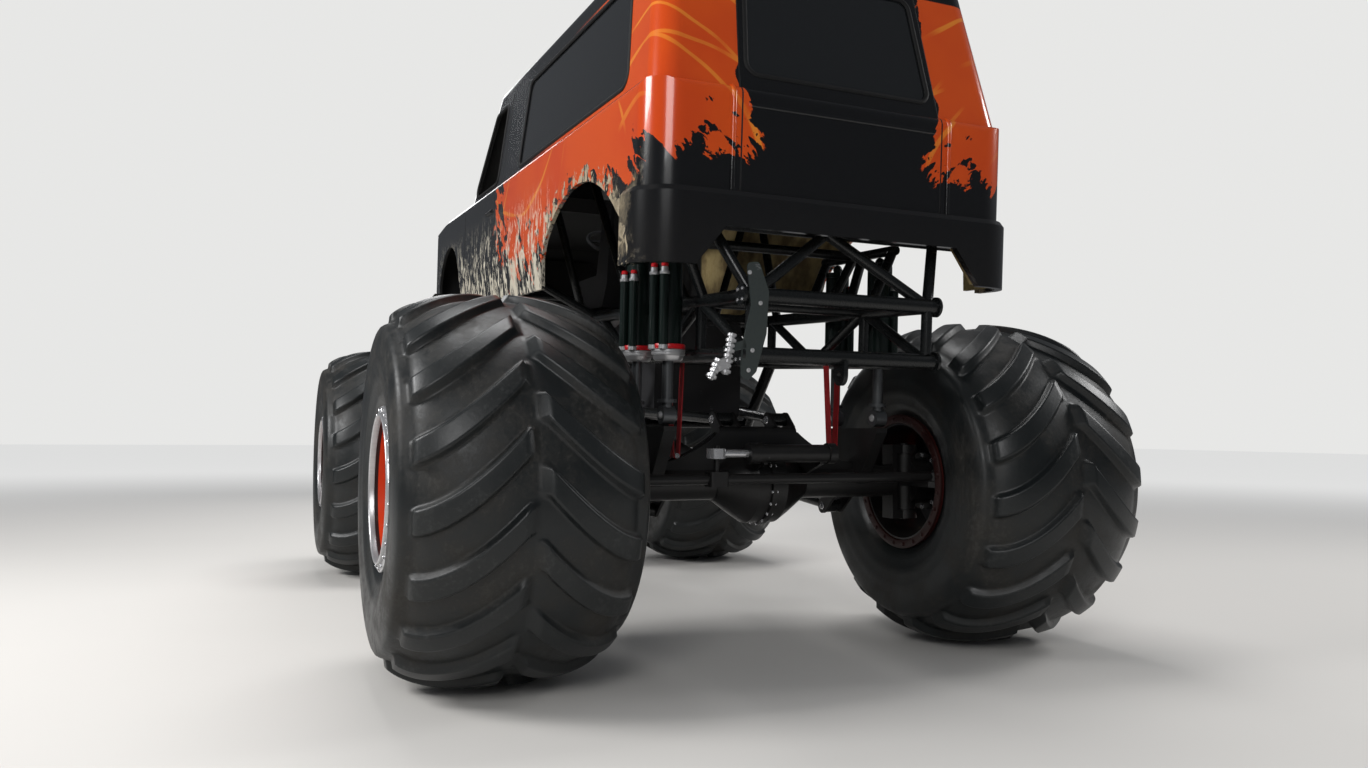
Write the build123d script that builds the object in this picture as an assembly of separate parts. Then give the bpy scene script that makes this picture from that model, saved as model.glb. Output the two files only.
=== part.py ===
from build123d import *
from math import cos, hypot, pi, radians, sin
import os

# Monster truck. Millimetres and degrees, +X forward, +Y left, +Z up.
# The origin is on the ground, midway between the four wheels.

# Stance
WHEELBASE = 3600
TRACK = 2600
RAKE = 3.0
RAKE_Z = 1500

# Tyres and wheels
TYRE_D = 1676
TYRE_W = 1000
TYRE_LUGS = 18
LUG_H = 34
LUG_START = 30
RIM_SEAT_R = 306
RIM_WALL = 14
RIM_W = 914
RIM_FLANGE_R = 345
DISC_OFFSET = -150
DISC_T = 22
DISC_WINDOW_R = 34
DISC_WINDOWS = 8
HUB_R = 185
HUB_CAP_R = 140
HUB_OUT = 60
HUB_CAP_T = 32
HUB_NECK_R = 118
SPINDLE_R = 70
SPINDLE_L = 280
SEAT_GAP = 0.3
RUNNING = 0.05

# Steering: king pins stand at the wheels' inner rims
KINGPIN_Y = 870
KINGPIN_R = 20
TRUNNION_R = 55
TRUNNION_H = 290
YOKE_EAR_T = 42
YOKE_EAR_R = 62
EAR_GAP = 2
DRUM_R = 118
DRUM_L = 115
FLANGE_R = 150
FLANGE_T = 20
FLANGE_GAP = 6
ARM_R = 250
ARM_T = 30
STEER_MAX = 20
STUD_R = 14
TIE_ROD_R = 24
TIE_EYE_R = 36
TIE_EYE_H = 40
TIE_ROD_UP = 34
RAM_UP = 150
RAM_R = 42
RAM_L = 460
RAM_ROD_R = 18
RAM_PIN_Y = 330
RAM_EYE_R = 44
RAM_EYE_H = 46

# Axles
DIFF_R = 190
DIFF_W = 300
AXLE_TUBE_R = 76
TRUSS_R = 26
TRUSS_UP = 250
TRUSS_PLATE_IN = 24
TRUSS_PLATE_T = 12
TRUSS_SHOULDER = 60
TRUSS_SAG = 50
PINION_R = 95
PINION_L = 340
LOWER_LINK_Y = 520
LOWER_LINK_DOWN = 130
LOWER_LINK_IN = 150
UPPER_LINK_Y = 150
UPPER_LINK_X = 930
LINK_BOSS_L = 10
LINK_BOSS_R = 30
LINK_R = 26
LINK_EYE_R = 38
LINK_EYE_W = 84
BRACKET_T = 14

# Frame, in its own level axes before the rake
FRAME_HW = 430
FRAME_END = 2570
UPPER_Z = 1775
LOWER_Z = 1535
BELLY_Z = 950
BELLY_X = 700
BELLY_CROSS_X = 480
KICK_X = 1150
STATION_X = 2080
MAIN_R = 32
BRACE_R = 24
V_APEX_UP = 300
V_APEX_IN = 150
TAIL_BAR_Y = 560
TUBE_GAP = 0.3
END_CAP_R = 44
END_CAP_T = 12

# Shocks, two to a corner
SHOCK_Y = 560
SHOCK_X = (-180, 210)
SHOCK_R = 60
SHOCK_RING_R = 72
SHOCK_BODY_L = 520
SHOCK_ROD_R = 25
SHOCK_CUP_R = 42
BYPASS_R = 20
BYPASS_L = 330
BYPASS_TURNS = (-50, 0, 50)
SHOCK_FOOT_UP = 322
SHOCK_EYE_R = 42
SHOCK_EYE_W = 60
TOWER_Z = 2080
TOWER_END = 105
TOWER_FOOT = 110
TOWER_HEAD = 40

# Body shell, level before the rake
WALL = 20
TAIL_X = -2560
NOSE_X = 2380
ROCKER_Z = 1890
SKIRT = 200
BELT_Z = 2615
BODY_HW = 885
TUCK = 25
TUCK_H = 240
SHOULDER_R = 36
CORNER_R = 150
HOOD_Z = 2660
HOOD_CROWN = 25
HOOD_NOSE_Z = 2560
NOSE_SLOPE = 120
NOSE_ROUND = 70
COWL_X = 1080
CABIN_HW = 853
CABIN_TAIL_X = -2528
CABIN_CORNER_R = 105
CABIN_FOOT = 80
ROOF_Z = 3325
ROOF_HW = 765
ROOF_ROUND = 70
ROOF_FRONT_X = 560
HATCH_TOP_X = -2330
PANEL_GAP = 0.6
DOOR_REAR_X = 150
DOOR_FRONT_X = 1090
DOOR_SILL = 60
PILLAR_A = 95
PILLAR_B_X = -300
WINDOW_UP = 45
WINDOW_DOWN = 150
WINDOW_R = 55
PILLAR_D = 330
DOOR_FRAME = 25
HATCH_SILL = 65
HATCH_FRAME = 36
ROOF_SEAM_DOWN = 95
HATCH_HW = 490
HATCH_TAPER = 40
HATCH_Z = 2190
HOOD_HW = 730
NOSE_PANEL_X = 2290
ARCH_X = (-1615, 1705)
ARCH_HALF = (695, 470)
ARCH_TOP_Z = (2330, 2400)
GLASS_T = 6
GLASS_IN = 6
BUMPER_T = 34
BUMPER_BEVEL = 22
BUMPER_TAPER = 35
BUMPER_TOP_Z = 2185
BUMPER_LOW_Z = 1880
BUMPER_MID_Z = 2040
BUMPER_DROP_Y = 690
BUMPER_FLAT_Y = 560
BUMPER_WRAP = 235
FRONT_BUMPER_H = 170
FRONT_BUMPER_WRAP = 190
MOUNT_X = (-600, 560)
GRILLE_SLOTS = 6
GRILLE_PITCH = 46
SLOT_W = 860
SLOT_H = 24
GRILLE_Z = 2270
LAMP_Y = 590
LAMP_R = 82
LAMP_RIM = 11

# Driver and drive train
FLOOR_T = 6
FLOOR_X = (-320, 900)
HOOP_X = -350
CAGE_FRONT_X = 520
CAGE_FOOT_X = 960
CAGE_SIDE_Y = 640
CAGE_TOP_Y = 600
CAGE_DROP = 130
CAGE_RAIL_DOWN = 120
SEAT_X = 60
ENGINE_X = (-1110, -420)
ENGINE_HW = 260
ENGINE_H = 560
CRADLE_UP = 226
CASE_X = (-250, 210)
CASE_HW = 170
CASE_H = 260
SHAFT_R = 42
SHAFT_YOKE_R = 62
SHAFT_YOKE_L = 90
TOW_EYE_R = 16
TOW_TAB_T = 20
TOW_TAB_R = 42

FAR = 1500
AXLE_Z = TYRE_D / 2
AXLE_X = WHEELBASE / 2
HALF_TRACK = TRACK / 2
PINION_UP = 32
RAKE_AXIS = Axis((0, 0, RAKE_Z), (0, 1, 0))
ENDS = (("front", 1), ("rear", -1))
CORNERS = (("fl", 1, 1), ("fr", 1, -1), ("rl", -1, 1), ("rr", -1, -1))


def raked(x, y, z):
    """The place of a frame point once the frame is raked nose up."""
    a = radians(RAKE)
    return (x * cos(a) - (z - RAKE_Z) * sin(a), y, RAKE_Z + x * sin(a) + (z - RAKE_Z) * cos(a))


def rake(shape):
    """The shape turned nose up with the frame and body."""
    return shape.rotate(RAKE_AXIS, -RAKE)


def bar(a, b, r, extend=0.0):
    """A round bar between two points, run on at both ends."""
    start, end = Vector(*a), Vector(*b)
    along = (end - start).normalized()
    start, end = start - along * extend, end + along * extend
    return Plane(origin=start, z_dir=along) * Cylinder(
        r, (end - start).length, align=(Align.CENTER, Align.CENTER, Align.MIN)
    )


def disc(centre, axis, r, t):
    """A short cylinder centred on a point."""
    return Plane(origin=centre, z_dir=axis) * Cylinder(r, t)


def block(x, y, z):
    """A box from its low and high limits along each axis."""
    return Pos((x[0] + x[1]) / 2, (y[0] + y[1]) / 2, (z[0] + z[1]) / 2) * Box(
        x[1] - x[0], y[1] - y[0], z[1] - z[0]
    )


def outline_xz(points, y0, y1):
    """A closed outline in X and Z, carried from y0 to y1."""
    face = Plane.XZ * make_face(Polyline(*points, close=True))
    return Pos(0, y1, 0) * extrude(face, y1 - y0)


def outline_yz(points, x0, x1):
    """A closed outline in Y and Z, carried from x0 to x1."""
    face = Plane.YZ * make_face(Polyline(*points, close=True))
    return Pos(x0, 0, 0) * extrude(face, x1 - x0)


def largest(shape):
    """The largest solid left after a cut."""
    return max(shape.solids(), key=lambda s: s.volume)


# Tyre


def tread_rows():
    """Rows from the tread's middle out to the shoulder.

    Columns: distance from the middle, carcass radius, lug radius, and the lug's turn in half pitches.
    """
    half, r = TYRE_W / 2, TYRE_D / 2
    crown, edge, shoulder = r * 0.985, r * 0.932, r * 0.838
    return (
        (LUG_START, r - LUG_H, r, 0.0),
        (half * 0.43, crown - LUG_H, crown, 1.25),
        (half * 0.75, edge - LUG_H, edge, 1.9),
        (half * 0.94, shoulder, shoulder, 2.2),
    )


def sidewall_rows():
    """Distance from the middle and radius, from the widest line in to the bead's heel."""
    bead_w = RIM_W / 2 - RIM_WALL - SEAT_GAP
    flat_to_corner = 1 / cos(pi / (2 * TYRE_LUGS))
    return (
        (TYRE_W / 2, TYRE_D * 0.352),
        (bead_w, RIM_FLANGE_R + 6),
        (bead_w, (RIM_SEAT_R + SEAT_GAP) * flat_to_corner),
    )


def tyre():
    """A closed ring of flat facets: slanted lugs and the gaps between them, each half a pitch long.

    The two sides' lugs are half a pitch apart, and their outer ends trail as the wheel rolls forward.
    """
    rows, walls = tread_rows(), sidewall_rows()
    steps = 2 * TYRE_LUGS
    last_turn = rows[-1][3]
    faces = []

    def corner(w, r, turn):
        a = 2 * pi * turn / steps
        return Vector(r * cos(a), w, r * sin(a))

    def facet(side, *points):
        ring = points if side > 0 else tuple(reversed(points))
        faces.append(Face(Wire.make_polygon(ring, close=True)))

    for side in (1, -1):
        for i in range(steps):
            raised = (i + (side > 0)) % 2
            for (w0, low0, high0, t0), (w1, low1, high1, t1) in zip(rows, rows[1:]):
                r0, r1 = (high0, high1) if raised else (low0, low1)
                a, b = corner(side * w0, r0, i + t0), corner(side * w0, r0, i + 1 + t0)
                c, d = corner(side * w1, r1, i + 1 + t1), corner(side * w1, r1, i + t1)
                facet(side, a, b, d)
                facet(side, b, c, d)
                flip = side if raised else -side
                foot0, top0 = corner(side * w0, low0, i + t0), corner(side * w0, high0, i + t0)
                foot1, top1 = corner(side * w1, low1, i + t1), corner(side * w1, high1, i + t1)
                facet(flip, foot0, top0, foot1)
                if high1 > low1:
                    facet(flip, top0, top1, foot1)
            if raised:
                w, low, high, t = rows[0]
                wall = ((low, 0), (low, 1), (high, 1), (high, 0))
                facet(side, *[corner(side * w, r, i + k + t) for r, k in wall])
            strip = [(rows[-1][0], rows[-1][2])] + list(walls)
            for (w0, r0), (w1, r1) in zip(strip, strip[1:]):
                quad = ((w0, r0, i), (w0, r0, i + 1), (w1, r1, i + 1), (w1, r1, i))
                facet(side, *[corner(side * w, r, k + last_turn) for w, r, k in quad])
    for i in range(steps):
        for (w, r, _, t), flip in ((rows[0], 1), (walls[-1] + (0, last_turn), -1)):
            quad = ((-w, i), (-w, i + 1), (w, i + 1), (w, i))
            facet(flip, *[corner(y, r, k + t) for y, k in quad])
    return Solid(Shell(faces))


# Wheel: rim barrel, disc with round windows, hub with its planetary cap


def wheel():
    """A wheel about Y, its outer side towards +Y."""
    half, seat = RIM_W / 2, RIM_SEAT_R
    bore = seat - RIM_WALL
    hub_in = -(SPINDLE_L + FLANGE_GAP)
    barrel = Polyline(
        (bore, -half), (RIM_FLANGE_R, -half), (RIM_FLANGE_R, -half + RIM_WALL), (seat, -half + RIM_WALL),
        (seat, half - RIM_WALL), (RIM_FLANGE_R, half - RIM_WALL), (RIM_FLANGE_R, half), (bore, half),
        close=True,
    )
    hub = Polyline(
        (SPINDLE_R + RUNNING, hub_in), (HUB_NECK_R, hub_in), (HUB_NECK_R, DISC_OFFSET - 40),
        (HUB_R, DISC_OFFSET - 40), (HUB_R, DISC_OFFSET), (bore, DISC_OFFSET), (bore, DISC_OFFSET + DISC_T),
        (HUB_R, DISC_OFFSET + DISC_T), (HUB_R, HUB_OUT), (HUB_CAP_R, HUB_OUT),
        (HUB_CAP_R, HUB_OUT + HUB_CAP_T),
        (0, HUB_OUT + HUB_CAP_T), (0, FLANGE_GAP), (SPINDLE_R + RUNNING, FLANGE_GAP), close=True,
    )
    axis = Axis((0, 0, 0), (0, 1, 0))
    solid = revolve(Plane.XY * make_face(barrel), axis) + revolve(Plane.XY * make_face(hub), axis)
    pitch = (bore + HUB_R) / 2
    for i in range(DISC_WINDOWS):
        a = 2 * pi * (i + 0.5) / DISC_WINDOWS
        centre = (pitch * cos(a), DISC_OFFSET + DISC_T / 2, pitch * sin(a))
        solid -= disc(centre, (0, 1, 0), DISC_WINDOW_R, DISC_T * 2)
    return solid


def wheel_place(fore, side):
    return Location((fore * AXLE_X, side * HALF_TRACK, AXLE_Z))


def at_corner(shape, fore, side):
    """A wheel-centred shape set at its corner, its outer side outwards."""
    turned = shape if side > 0 else shape.rotate(Axis.Z, 180)
    return turned.moved(wheel_place(fore, side))


def mirrored(shape, fore, side):
    """A front left shape, about the truck's middle, set at its corner."""
    out = shape
    if fore < 0:
        out = out.mirror(Plane.YZ)
    if side < 0:
        out = out.mirror(Plane.XZ)
    return out


# Knuckle, front left: trunnion, drum, flange, spindle and steering arm


def knuckle():
    x, y, z = AXLE_X, KINGPIN_Y, AXLE_Z
    up = (0, 0, 1)
    along = (0, 1, 0)
    drum_end = y + DRUM_L
    flange_end = drum_end + FLANGE_T
    solid = disc((x, y, z), up, TRUNNION_R, TRUNNION_H)
    solid += disc((x, y, z), up, KINGPIN_R, TRUNNION_H + 2 * (EAR_GAP + YOKE_EAR_T + 8))
    solid += disc((x, (y + drum_end) / 2, z), along, DRUM_R, drum_end - y)
    solid += disc((x, drum_end + FLANGE_T / 2, z), along, FLANGE_R, FLANGE_T)
    solid += disc((x, flange_end + SPINDLE_L / 2, z), along, SPINDLE_R, SPINDLE_L)
    arm_top = z + TIE_ROD_UP - TIE_EYE_H / 2 - EAR_GAP * 2
    arm = Polyline(
        (x, y - TRUNNION_R + 5), (x + ARM_R, y - TIE_EYE_R), (x + ARM_R + TIE_EYE_R, y),
        (x + ARM_R, y + TIE_EYE_R), (x, y + DRUM_L - 10), close=True,
    )
    solid += Pos(0, 0, arm_top - ARM_T) * extrude(make_face(arm), ARM_T)
    stud_top = z + TIE_ROD_UP + TIE_EYE_H / 2 + 8
    solid += bar((x + ARM_R, y, arm_top - 5), (x + ARM_R, y, stud_top), STUD_R)
    return solid


# Tie rod and ram, front: the rod runs between the two arms' studs


def tie_rod():
    x, z = AXLE_X + ARM_R, AXLE_Z + TIE_ROD_UP
    solid = bar((x, -KINGPIN_Y, z), (x, KINGPIN_Y, z), TIE_ROD_R)
    for side in (1, -1):
        solid += disc((x, side * KINGPIN_Y, z), (0, 0, 1), TIE_EYE_R, TIE_EYE_H)
    for side in (1, -1):
        solid -= disc((x, side * KINGPIN_Y, z), (0, 0, 1), STUD_R + RUNNING, TIE_EYE_H * 2)
    clamp = block((x - 40, x + 40), (RAM_PIN_Y - 45, RAM_PIN_Y + 45), (z - 34, z + 34))
    solid += fillet(clamp.edges().filter_by(Axis.Z), 12)
    ram_z = AXLE_Z + RAM_UP
    return solid + bar((x, RAM_PIN_Y, z + 30), (x, RAM_PIN_Y, ram_z + RAM_EYE_H / 2 + 12), STUD_R)


def arm_sag():
    """How far the arm's stud moves towards the axle at full lock."""
    return ARM_R * (1 - cos(radians(STEER_MAX)))


def ram_axis_x():
    """The ram lies halfway along the stud's sideways drift."""
    return AXLE_X + ARM_R - arm_sag() / 2


def ram_travel():
    return ARM_R * sin(radians(STEER_MAX))


def ram_barrel_y():
    """Ends of the ram's barrel: the rod's eye never reaches its gland."""
    gland = RAM_PIN_Y - RAM_EYE_R - ram_travel() - 30
    return gland - RAM_L, gland


def ram_rod():
    x, z = ram_axis_x(), AXLE_Z + RAM_UP
    low, gland = ram_barrel_y()
    inner = (low + gland) / 2
    solid = bar((x, inner, z), (x, RAM_PIN_Y - RAM_EYE_R + 8, z), RAM_ROD_R)
    solid += disc((x, RAM_PIN_Y, z), (0, 0, 1), RAM_EYE_R, RAM_EYE_H)
    bore = STUD_R + arm_sag() / 2 + 3
    return solid - disc((x, RAM_PIN_Y, z), (0, 0, 1), bore, RAM_EYE_H * 2)


def ram_barrel():
    x, z = ram_axis_x(), AXLE_Z + RAM_UP
    low, gland = ram_barrel_y()
    solid = bar((x, low, z), (x, gland, z), RAM_R)
    solid += bar((x, gland - 60, z), (x, gland, z), RAM_R + 7)
    solid += bar((x, low, z), (x, low + 40, z), RAM_R + 7)
    solid -= bar((x, low + 40, z), (x, gland + 1, z), RAM_ROD_R + RUNNING)
    for y in (low + 70, gland - 90):
        solid += ram_bracket(x, y, z)
    return solid


def ram_bracket(x, y, z):
    """A saddle that carries the barrel on the axle's housing, against the truss plate."""
    root = AXLE_X + TRUSS_PLATE_IN + TRUSS_PLATE_T + SEAT_GAP
    plate = outline_xz(
        [(root, z - 20), (root, z - 130), (x + 10, z - 50), (x + 10, z - RAM_R + 12), (x - 36, z - 10)],
        y - 10, y + 10,
    )
    plate -= bar((x, y - 20, z), (x, y + 20, z), RAM_R - 2)
    plate -= axle_tube(SEAT_GAP)
    return largest(plate - diff_bulb(SEAT_GAP))


# Axle, front: differential, tubes, yokes, truss and brackets


def yoke_inner_y():
    return KINGPIN_Y - YOKE_EAR_R - 42


def axle_tube(grow=0.0):
    y = yoke_inner_y() + 10
    return bar((AXLE_X, -y, AXLE_Z), (AXLE_X, y, AXLE_Z), AXLE_TUBE_R + grow)


def diff_bulb(grow=0.0):
    """The swollen middle of the housing, turned about the axle."""
    neck, full, half = AXLE_TUBE_R + 4 + grow, DIFF_R + grow, DIFF_W / 2
    bulb = Polyline(
        (0, -half - 90), (neck, -half - 90), (full - 34, -half + 20), (full, -half / 2),
        (full, half / 2), (full - 34, half - 20), (neck, half + 90), (0, half + 90), close=True,
    )
    return Pos(AXLE_X, 0, AXLE_Z) * revolve(Plane.XY * make_face(bulb), Axis.Y)


def axle():
    x, z = AXLE_X, AXLE_Z
    yoke_in = yoke_inner_y()
    ear_in = TRUNNION_H / 2 + EAR_GAP
    ear_out = ear_in + YOKE_EAR_T
    solid = axle_tube() + diff_bulb()
    nose = (x - PINION_L, 0, z + PINION_UP)
    solid += bar((x, 0, z + PINION_UP), nose, PINION_R)
    for side in (1, -1):
        yoke = block((x - 46, x + 46), (yoke_in, yoke_in + 30), (z - ear_out, z + ear_out))
        for up in (1, -1):
            low, high = sorted((up * ear_in, up * ear_out))
            yoke += block((x - 46, x + 46), (yoke_in, KINGPIN_Y), (z + low, z + high))
            yoke += disc((x, KINGPIN_Y, z + (low + high) / 2), (0, 0, 1), YOKE_EAR_R, YOKE_EAR_T)
        yoke -= disc((x, KINGPIN_Y, z), (0, 0, 1), KINGPIN_R + RUNNING, 3 * ear_out)
        solid += yoke if side > 0 else yoke.mirror(Plane.XZ)
    truss_z = z + TRUSS_UP
    truss_end = UPPER_LINK_Y + TRUSS_SHOULDER
    solid += bar((x, -truss_end, truss_z), (x, truss_end, truss_z), TRUSS_R)
    shelf = z + SHOCK_FOOT_UP - SHOCK_EYE_R - 8
    for side in (1, -1):
        plates = truss_plates()
        solid += plates if side > 0 else plates.mirror(Plane.XZ)
        solid += bar((x, side * UPPER_LINK_Y, truss_z), (x, side * UPPER_LINK_Y, z), TRUSS_R)
        y = side * SHOCK_Y
        cradle = outline_xz(
            [
                (x + SHOCK_X[0] - 40, shelf), (x + SHOCK_X[0] - 40, shelf - 22), (x - 60, z - 30),
                (x + 60, z - 30), (x + SHOCK_X[1] + 40, shelf - 22), (x + SHOCK_X[1] + 40, shelf),
            ],
            y - 30, y + 30,
        )
        solid += cradle
        eye = (x - LOWER_LINK_IN, side * LOWER_LINK_Y, z - LOWER_LINK_DOWN)
        solid += lug_pair(eye, (x - 20, z - 20), LINK_EYE_W)
        top = (x - 70, side * UPPER_LINK_Y, truss_z + 60)
        solid += lug_pair(top, (x, truss_z), LINK_EYE_W)
    return solid


def truss_plates():
    """Two plates with a hollow upper edge, from the link lugs down to the yoke."""
    start = (UPPER_LINK_Y + TRUSS_SHOULDER, AXLE_Z + TRUSS_UP)
    end = (yoke_inner_y() + 10, AXLE_Z + AXLE_TUBE_R + 10)
    middle = ((start[0] + end[0]) / 2 - TRUSS_SAG, (start[1] + end[1]) / 2 - TRUSS_SAG)
    wire = Polyline(end, (end[0], AXLE_Z), (0, AXLE_Z), (0, start[1]), start)
    wire += ThreePointArc(start, middle, end)
    plate = extrude(Plane.YZ * make_face(wire), TRUSS_PLATE_T)
    low, high = AXLE_X - TRUSS_PLATE_IN - TRUSS_PLATE_T, AXLE_X + TRUSS_PLATE_IN
    return Pos(low, 0, 0) * plate + Pos(high, 0, 0) * plate


def lug_pair(eye, root, gap):
    """Two lugs that hold a link's eye, standing on a root point in X and Z."""
    lugs = None
    for side in (1, -1):
        y = eye[1] + side * (gap / 2 + SEAT_GAP + BRACKET_T / 2)
        plate = disc((eye[0], y, eye[2]), (0, 1, 0), LINK_EYE_R, BRACKET_T)
        dx, dz = root[0] - eye[0], root[1] - eye[2]
        span = hypot(dx, dz)
        nx, nz = -dz / span * LINK_EYE_R, dx / span * LINK_EYE_R
        web = outline_xz(
            [
                (eye[0] + nx, eye[2] + nz), (eye[0] - nx, eye[2] - nz),
                (root[0] - nx * 0.9, root[1] - nz * 0.9), (root[0] + nx * 0.9, root[1] + nz * 0.9),
            ],
            y - BRACKET_T / 2, y + BRACKET_T / 2,
        )
        plate += web
        lugs = plate if lugs is None else lugs + plate
    return lugs


def link(a, b):
    """A bar between two eyes, each eye across Y."""
    solid = bar(a, b, LINK_R)
    for eye in (a, b):
        solid += disc(eye, (0, 1, 0), LINK_EYE_R - 4, LINK_EYE_W)
    return solid


def lower_link_ends(fore, side):
    """Axle eye and frame eye of a lower link."""
    axle_eye = (fore * (AXLE_X - LOWER_LINK_IN), side * LOWER_LINK_Y, AXLE_Z - LOWER_LINK_DOWN)
    frame_eye = raked(fore * (BELLY_X / 2), side * FRAME_HW, BELLY_Z - MAIN_R - LINK_EYE_R - 6)
    return axle_eye, frame_eye


def upper_link_ends(fore, side):
    """Axle eye and frame eye of an upper link."""
    axle_eye = (fore * (AXLE_X - 70), side * UPPER_LINK_Y, AXLE_Z + TRUSS_UP + 60)
    frame_eye = raked(fore * UPPER_LINK_X, side * upper_eye_y(), kick_z(UPPER_LINK_X))
    return axle_eye, frame_eye


def upper_eye_y():
    """The upper links' frame eyes lie just inside the kick-up rails."""
    return FRAME_HW - MAIN_R - LINK_BOSS_L - LINK_EYE_W / 2


def kick_z(x):
    """Height of the kick-up rail's axis at a distance from the middle."""
    return BELLY_Z + (LOWER_Z - BELLY_Z) * (x - BELLY_X) / (KICK_X - BELLY_X)


# Shocks


def shock_ends(fore, side, x):
    """Foot on the axle and top under the tower's rail."""
    foot = (fore * AXLE_X + x * fore, side * SHOCK_Y, AXLE_Z + SHOCK_FOOT_UP)
    top = raked(fore * AXLE_X + x * fore, side * SHOCK_Y, TOWER_Z - BRACE_R - SEAT_GAP - 24)
    return foot, top


def shock_body(foot, top):
    """The body under its ball end, with bypass tubes along its outer side."""
    end = Vector(*top)
    along = (Vector(*foot) - end).normalized()
    low = end + along * SHOCK_BODY_L
    start = end + along * 20
    outward = Vector(0, 1 if top[1] > 0 else -1, 0)
    solid = bar(tuple(start), tuple(low), SHOCK_R)
    solid += bar(tuple(low - along * 70), tuple(low - along * 30), SHOCK_RING_R)
    solid += Pos(*top) * Sphere(24)
    for turn in BYPASS_TURNS:
        reach = outward.rotate(Axis((0, 0, 0), tuple(along)), turn) * (SHOCK_R + BYPASS_R - 6)
        tube_low = low + reach - along * 50
        solid += bar(tuple(tube_low - along * BYPASS_L), tuple(tube_low), BYPASS_R)
    solid -= bar(tuple(low - along * (SHOCK_BODY_L - 90)), tuple(low + along), SHOCK_ROD_R + RUNNING)
    return solid


def shock_rod(foot, top):
    end, base = Vector(*top), Vector(*foot)
    along = (base - end).normalized()
    inner = end + along * (SHOCK_BODY_L - 160)
    cup = base - along * (SHOCK_EYE_R + 30)
    solid = bar(tuple(base), tuple(inner), SHOCK_ROD_R)
    solid += bar(tuple(cup), tuple(cup + along * 16), SHOCK_CUP_R)
    return solid + disc(foot, (0, 1, 0), SHOCK_EYE_R, SHOCK_EYE_W)


# Frame tubes, coped where they meet


def tube_table():
    """Group, start, end, radius and end extension of each tube, in the order they are coped."""
    hw, uz, lz, bz = FRAME_HW, UPPER_Z, LOWER_Z, BELLY_Z
    bx, kx, sx, end = BELLY_X, KICK_X, STATION_X, FRAME_END
    rows = []
    for fore in (1, -1):
        for z in (uz, lz):
            rows.append(("frame_end_hoops", (fore * end, -hw - 40, z), (fore * end, hw + 40, z), MAIN_R, 0))
    for s in (1, -1):
        y = s * hw
        rows.append(("frame_rails", (-end, y, uz), (end, y, uz), MAIN_R, 0))
        for fore in (1, -1):
            rows.append(("frame_rails", (fore * end, y, lz), (fore * kx, y, lz), MAIN_R, MAIN_R))
        rows.append(("frame_rails", (-bx, y, bz), (bx, y, bz), MAIN_R, MAIN_R))
        for fore in (1, -1):
            rows.append(("frame_rails", (fore * bx, y, bz), (fore * kx, y, lz), MAIN_R, 0))
    cross = BELLY_CROSS_X
    for x, z in ((0, bz), (cross, bz), (-cross, bz), (kx, lz), (-kx, lz), (sx, lz), (-sx, lz)):
        rows.append(("frame_braces", (x, -hw, z), (x, hw, z), BRACE_R, 0))
    for x in (kx, -kx, sx, -sx):
        rows.append(("frame_braces", (x, -hw, uz), (x, hw, uz), BRACE_R, 0))
    cradle_kick = -bx - (kx - bx) * CRADLE_UP / (lz - bz)
    cradle_brace = -bx + bx * CRADLE_UP / (uz - bz)
    for s in (1, -1):
        y = s * hw
        for fore in (1, -1):
            rows.append(("frame_end_hoops", (fore * end, y, lz), (fore * end, y, uz), BRACE_R, 0))
            for x, z in ((bx, bz), (kx, lz), (sx, lz)):
                rows.append(("frame_braces", (fore * x, y, z), (fore * x, y, uz), BRACE_R, 0))
            for a, b in (
                (((bx, bz)), (0, uz)), ((bx, uz), (kx, lz)), ((kx, uz), (1620, lz)), ((1620, lz), (sx, uz)),
                ((sx, uz), (end, lz)),
            ):
                rows.append(
                    ("frame_braces", (fore * a[0], y, a[1]), (fore * b[0], y, b[1]), BRACE_R, 0)
                )
    for x in (cradle_kick, cradle_brace):
        rows.append(("frame_braces", (x, -hw, bz + CRADLE_UP), (x, hw, bz + CRADLE_UP), BRACE_R, 0))
    return rows + tower_rows() + cage_rows() + tail_rows()


def tower_rows():
    """The shock towers: a rail over each pair of shocks, on legs from the upper rail."""
    rows = []
    for fore in (1, -1):
        near, far = (fore * (AXLE_X + x) for x in SHOCK_X)
        mid = (near + far) / 2
        half = abs(far - near) / 2 + TOWER_END
        for s in (1, -1):
            y = s * SHOCK_Y
            rail = ((mid - half, y, TOWER_Z), (mid + half, y, TOWER_Z))
            rows.append(("shock_towers", *rail, BRACE_R, BRACE_R))
        rows.append(("shock_towers", (mid, -SHOCK_Y, TOWER_Z), (mid, SHOCK_Y, TOWER_Z), BRACE_R, 0))
        for s in (1, -1):
            for end in (-1, 1):
                for foot, head in ((half, half), (TOWER_FOOT, TOWER_HEAD)):
                    low = (mid + end * foot, s * FRAME_HW, UPPER_Z)
                    high = (mid + end * head, s * SHOCK_Y, TOWER_Z)
                    rows.append(("shock_towers", low, high, BRACE_R, 0))
    return rows


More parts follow.
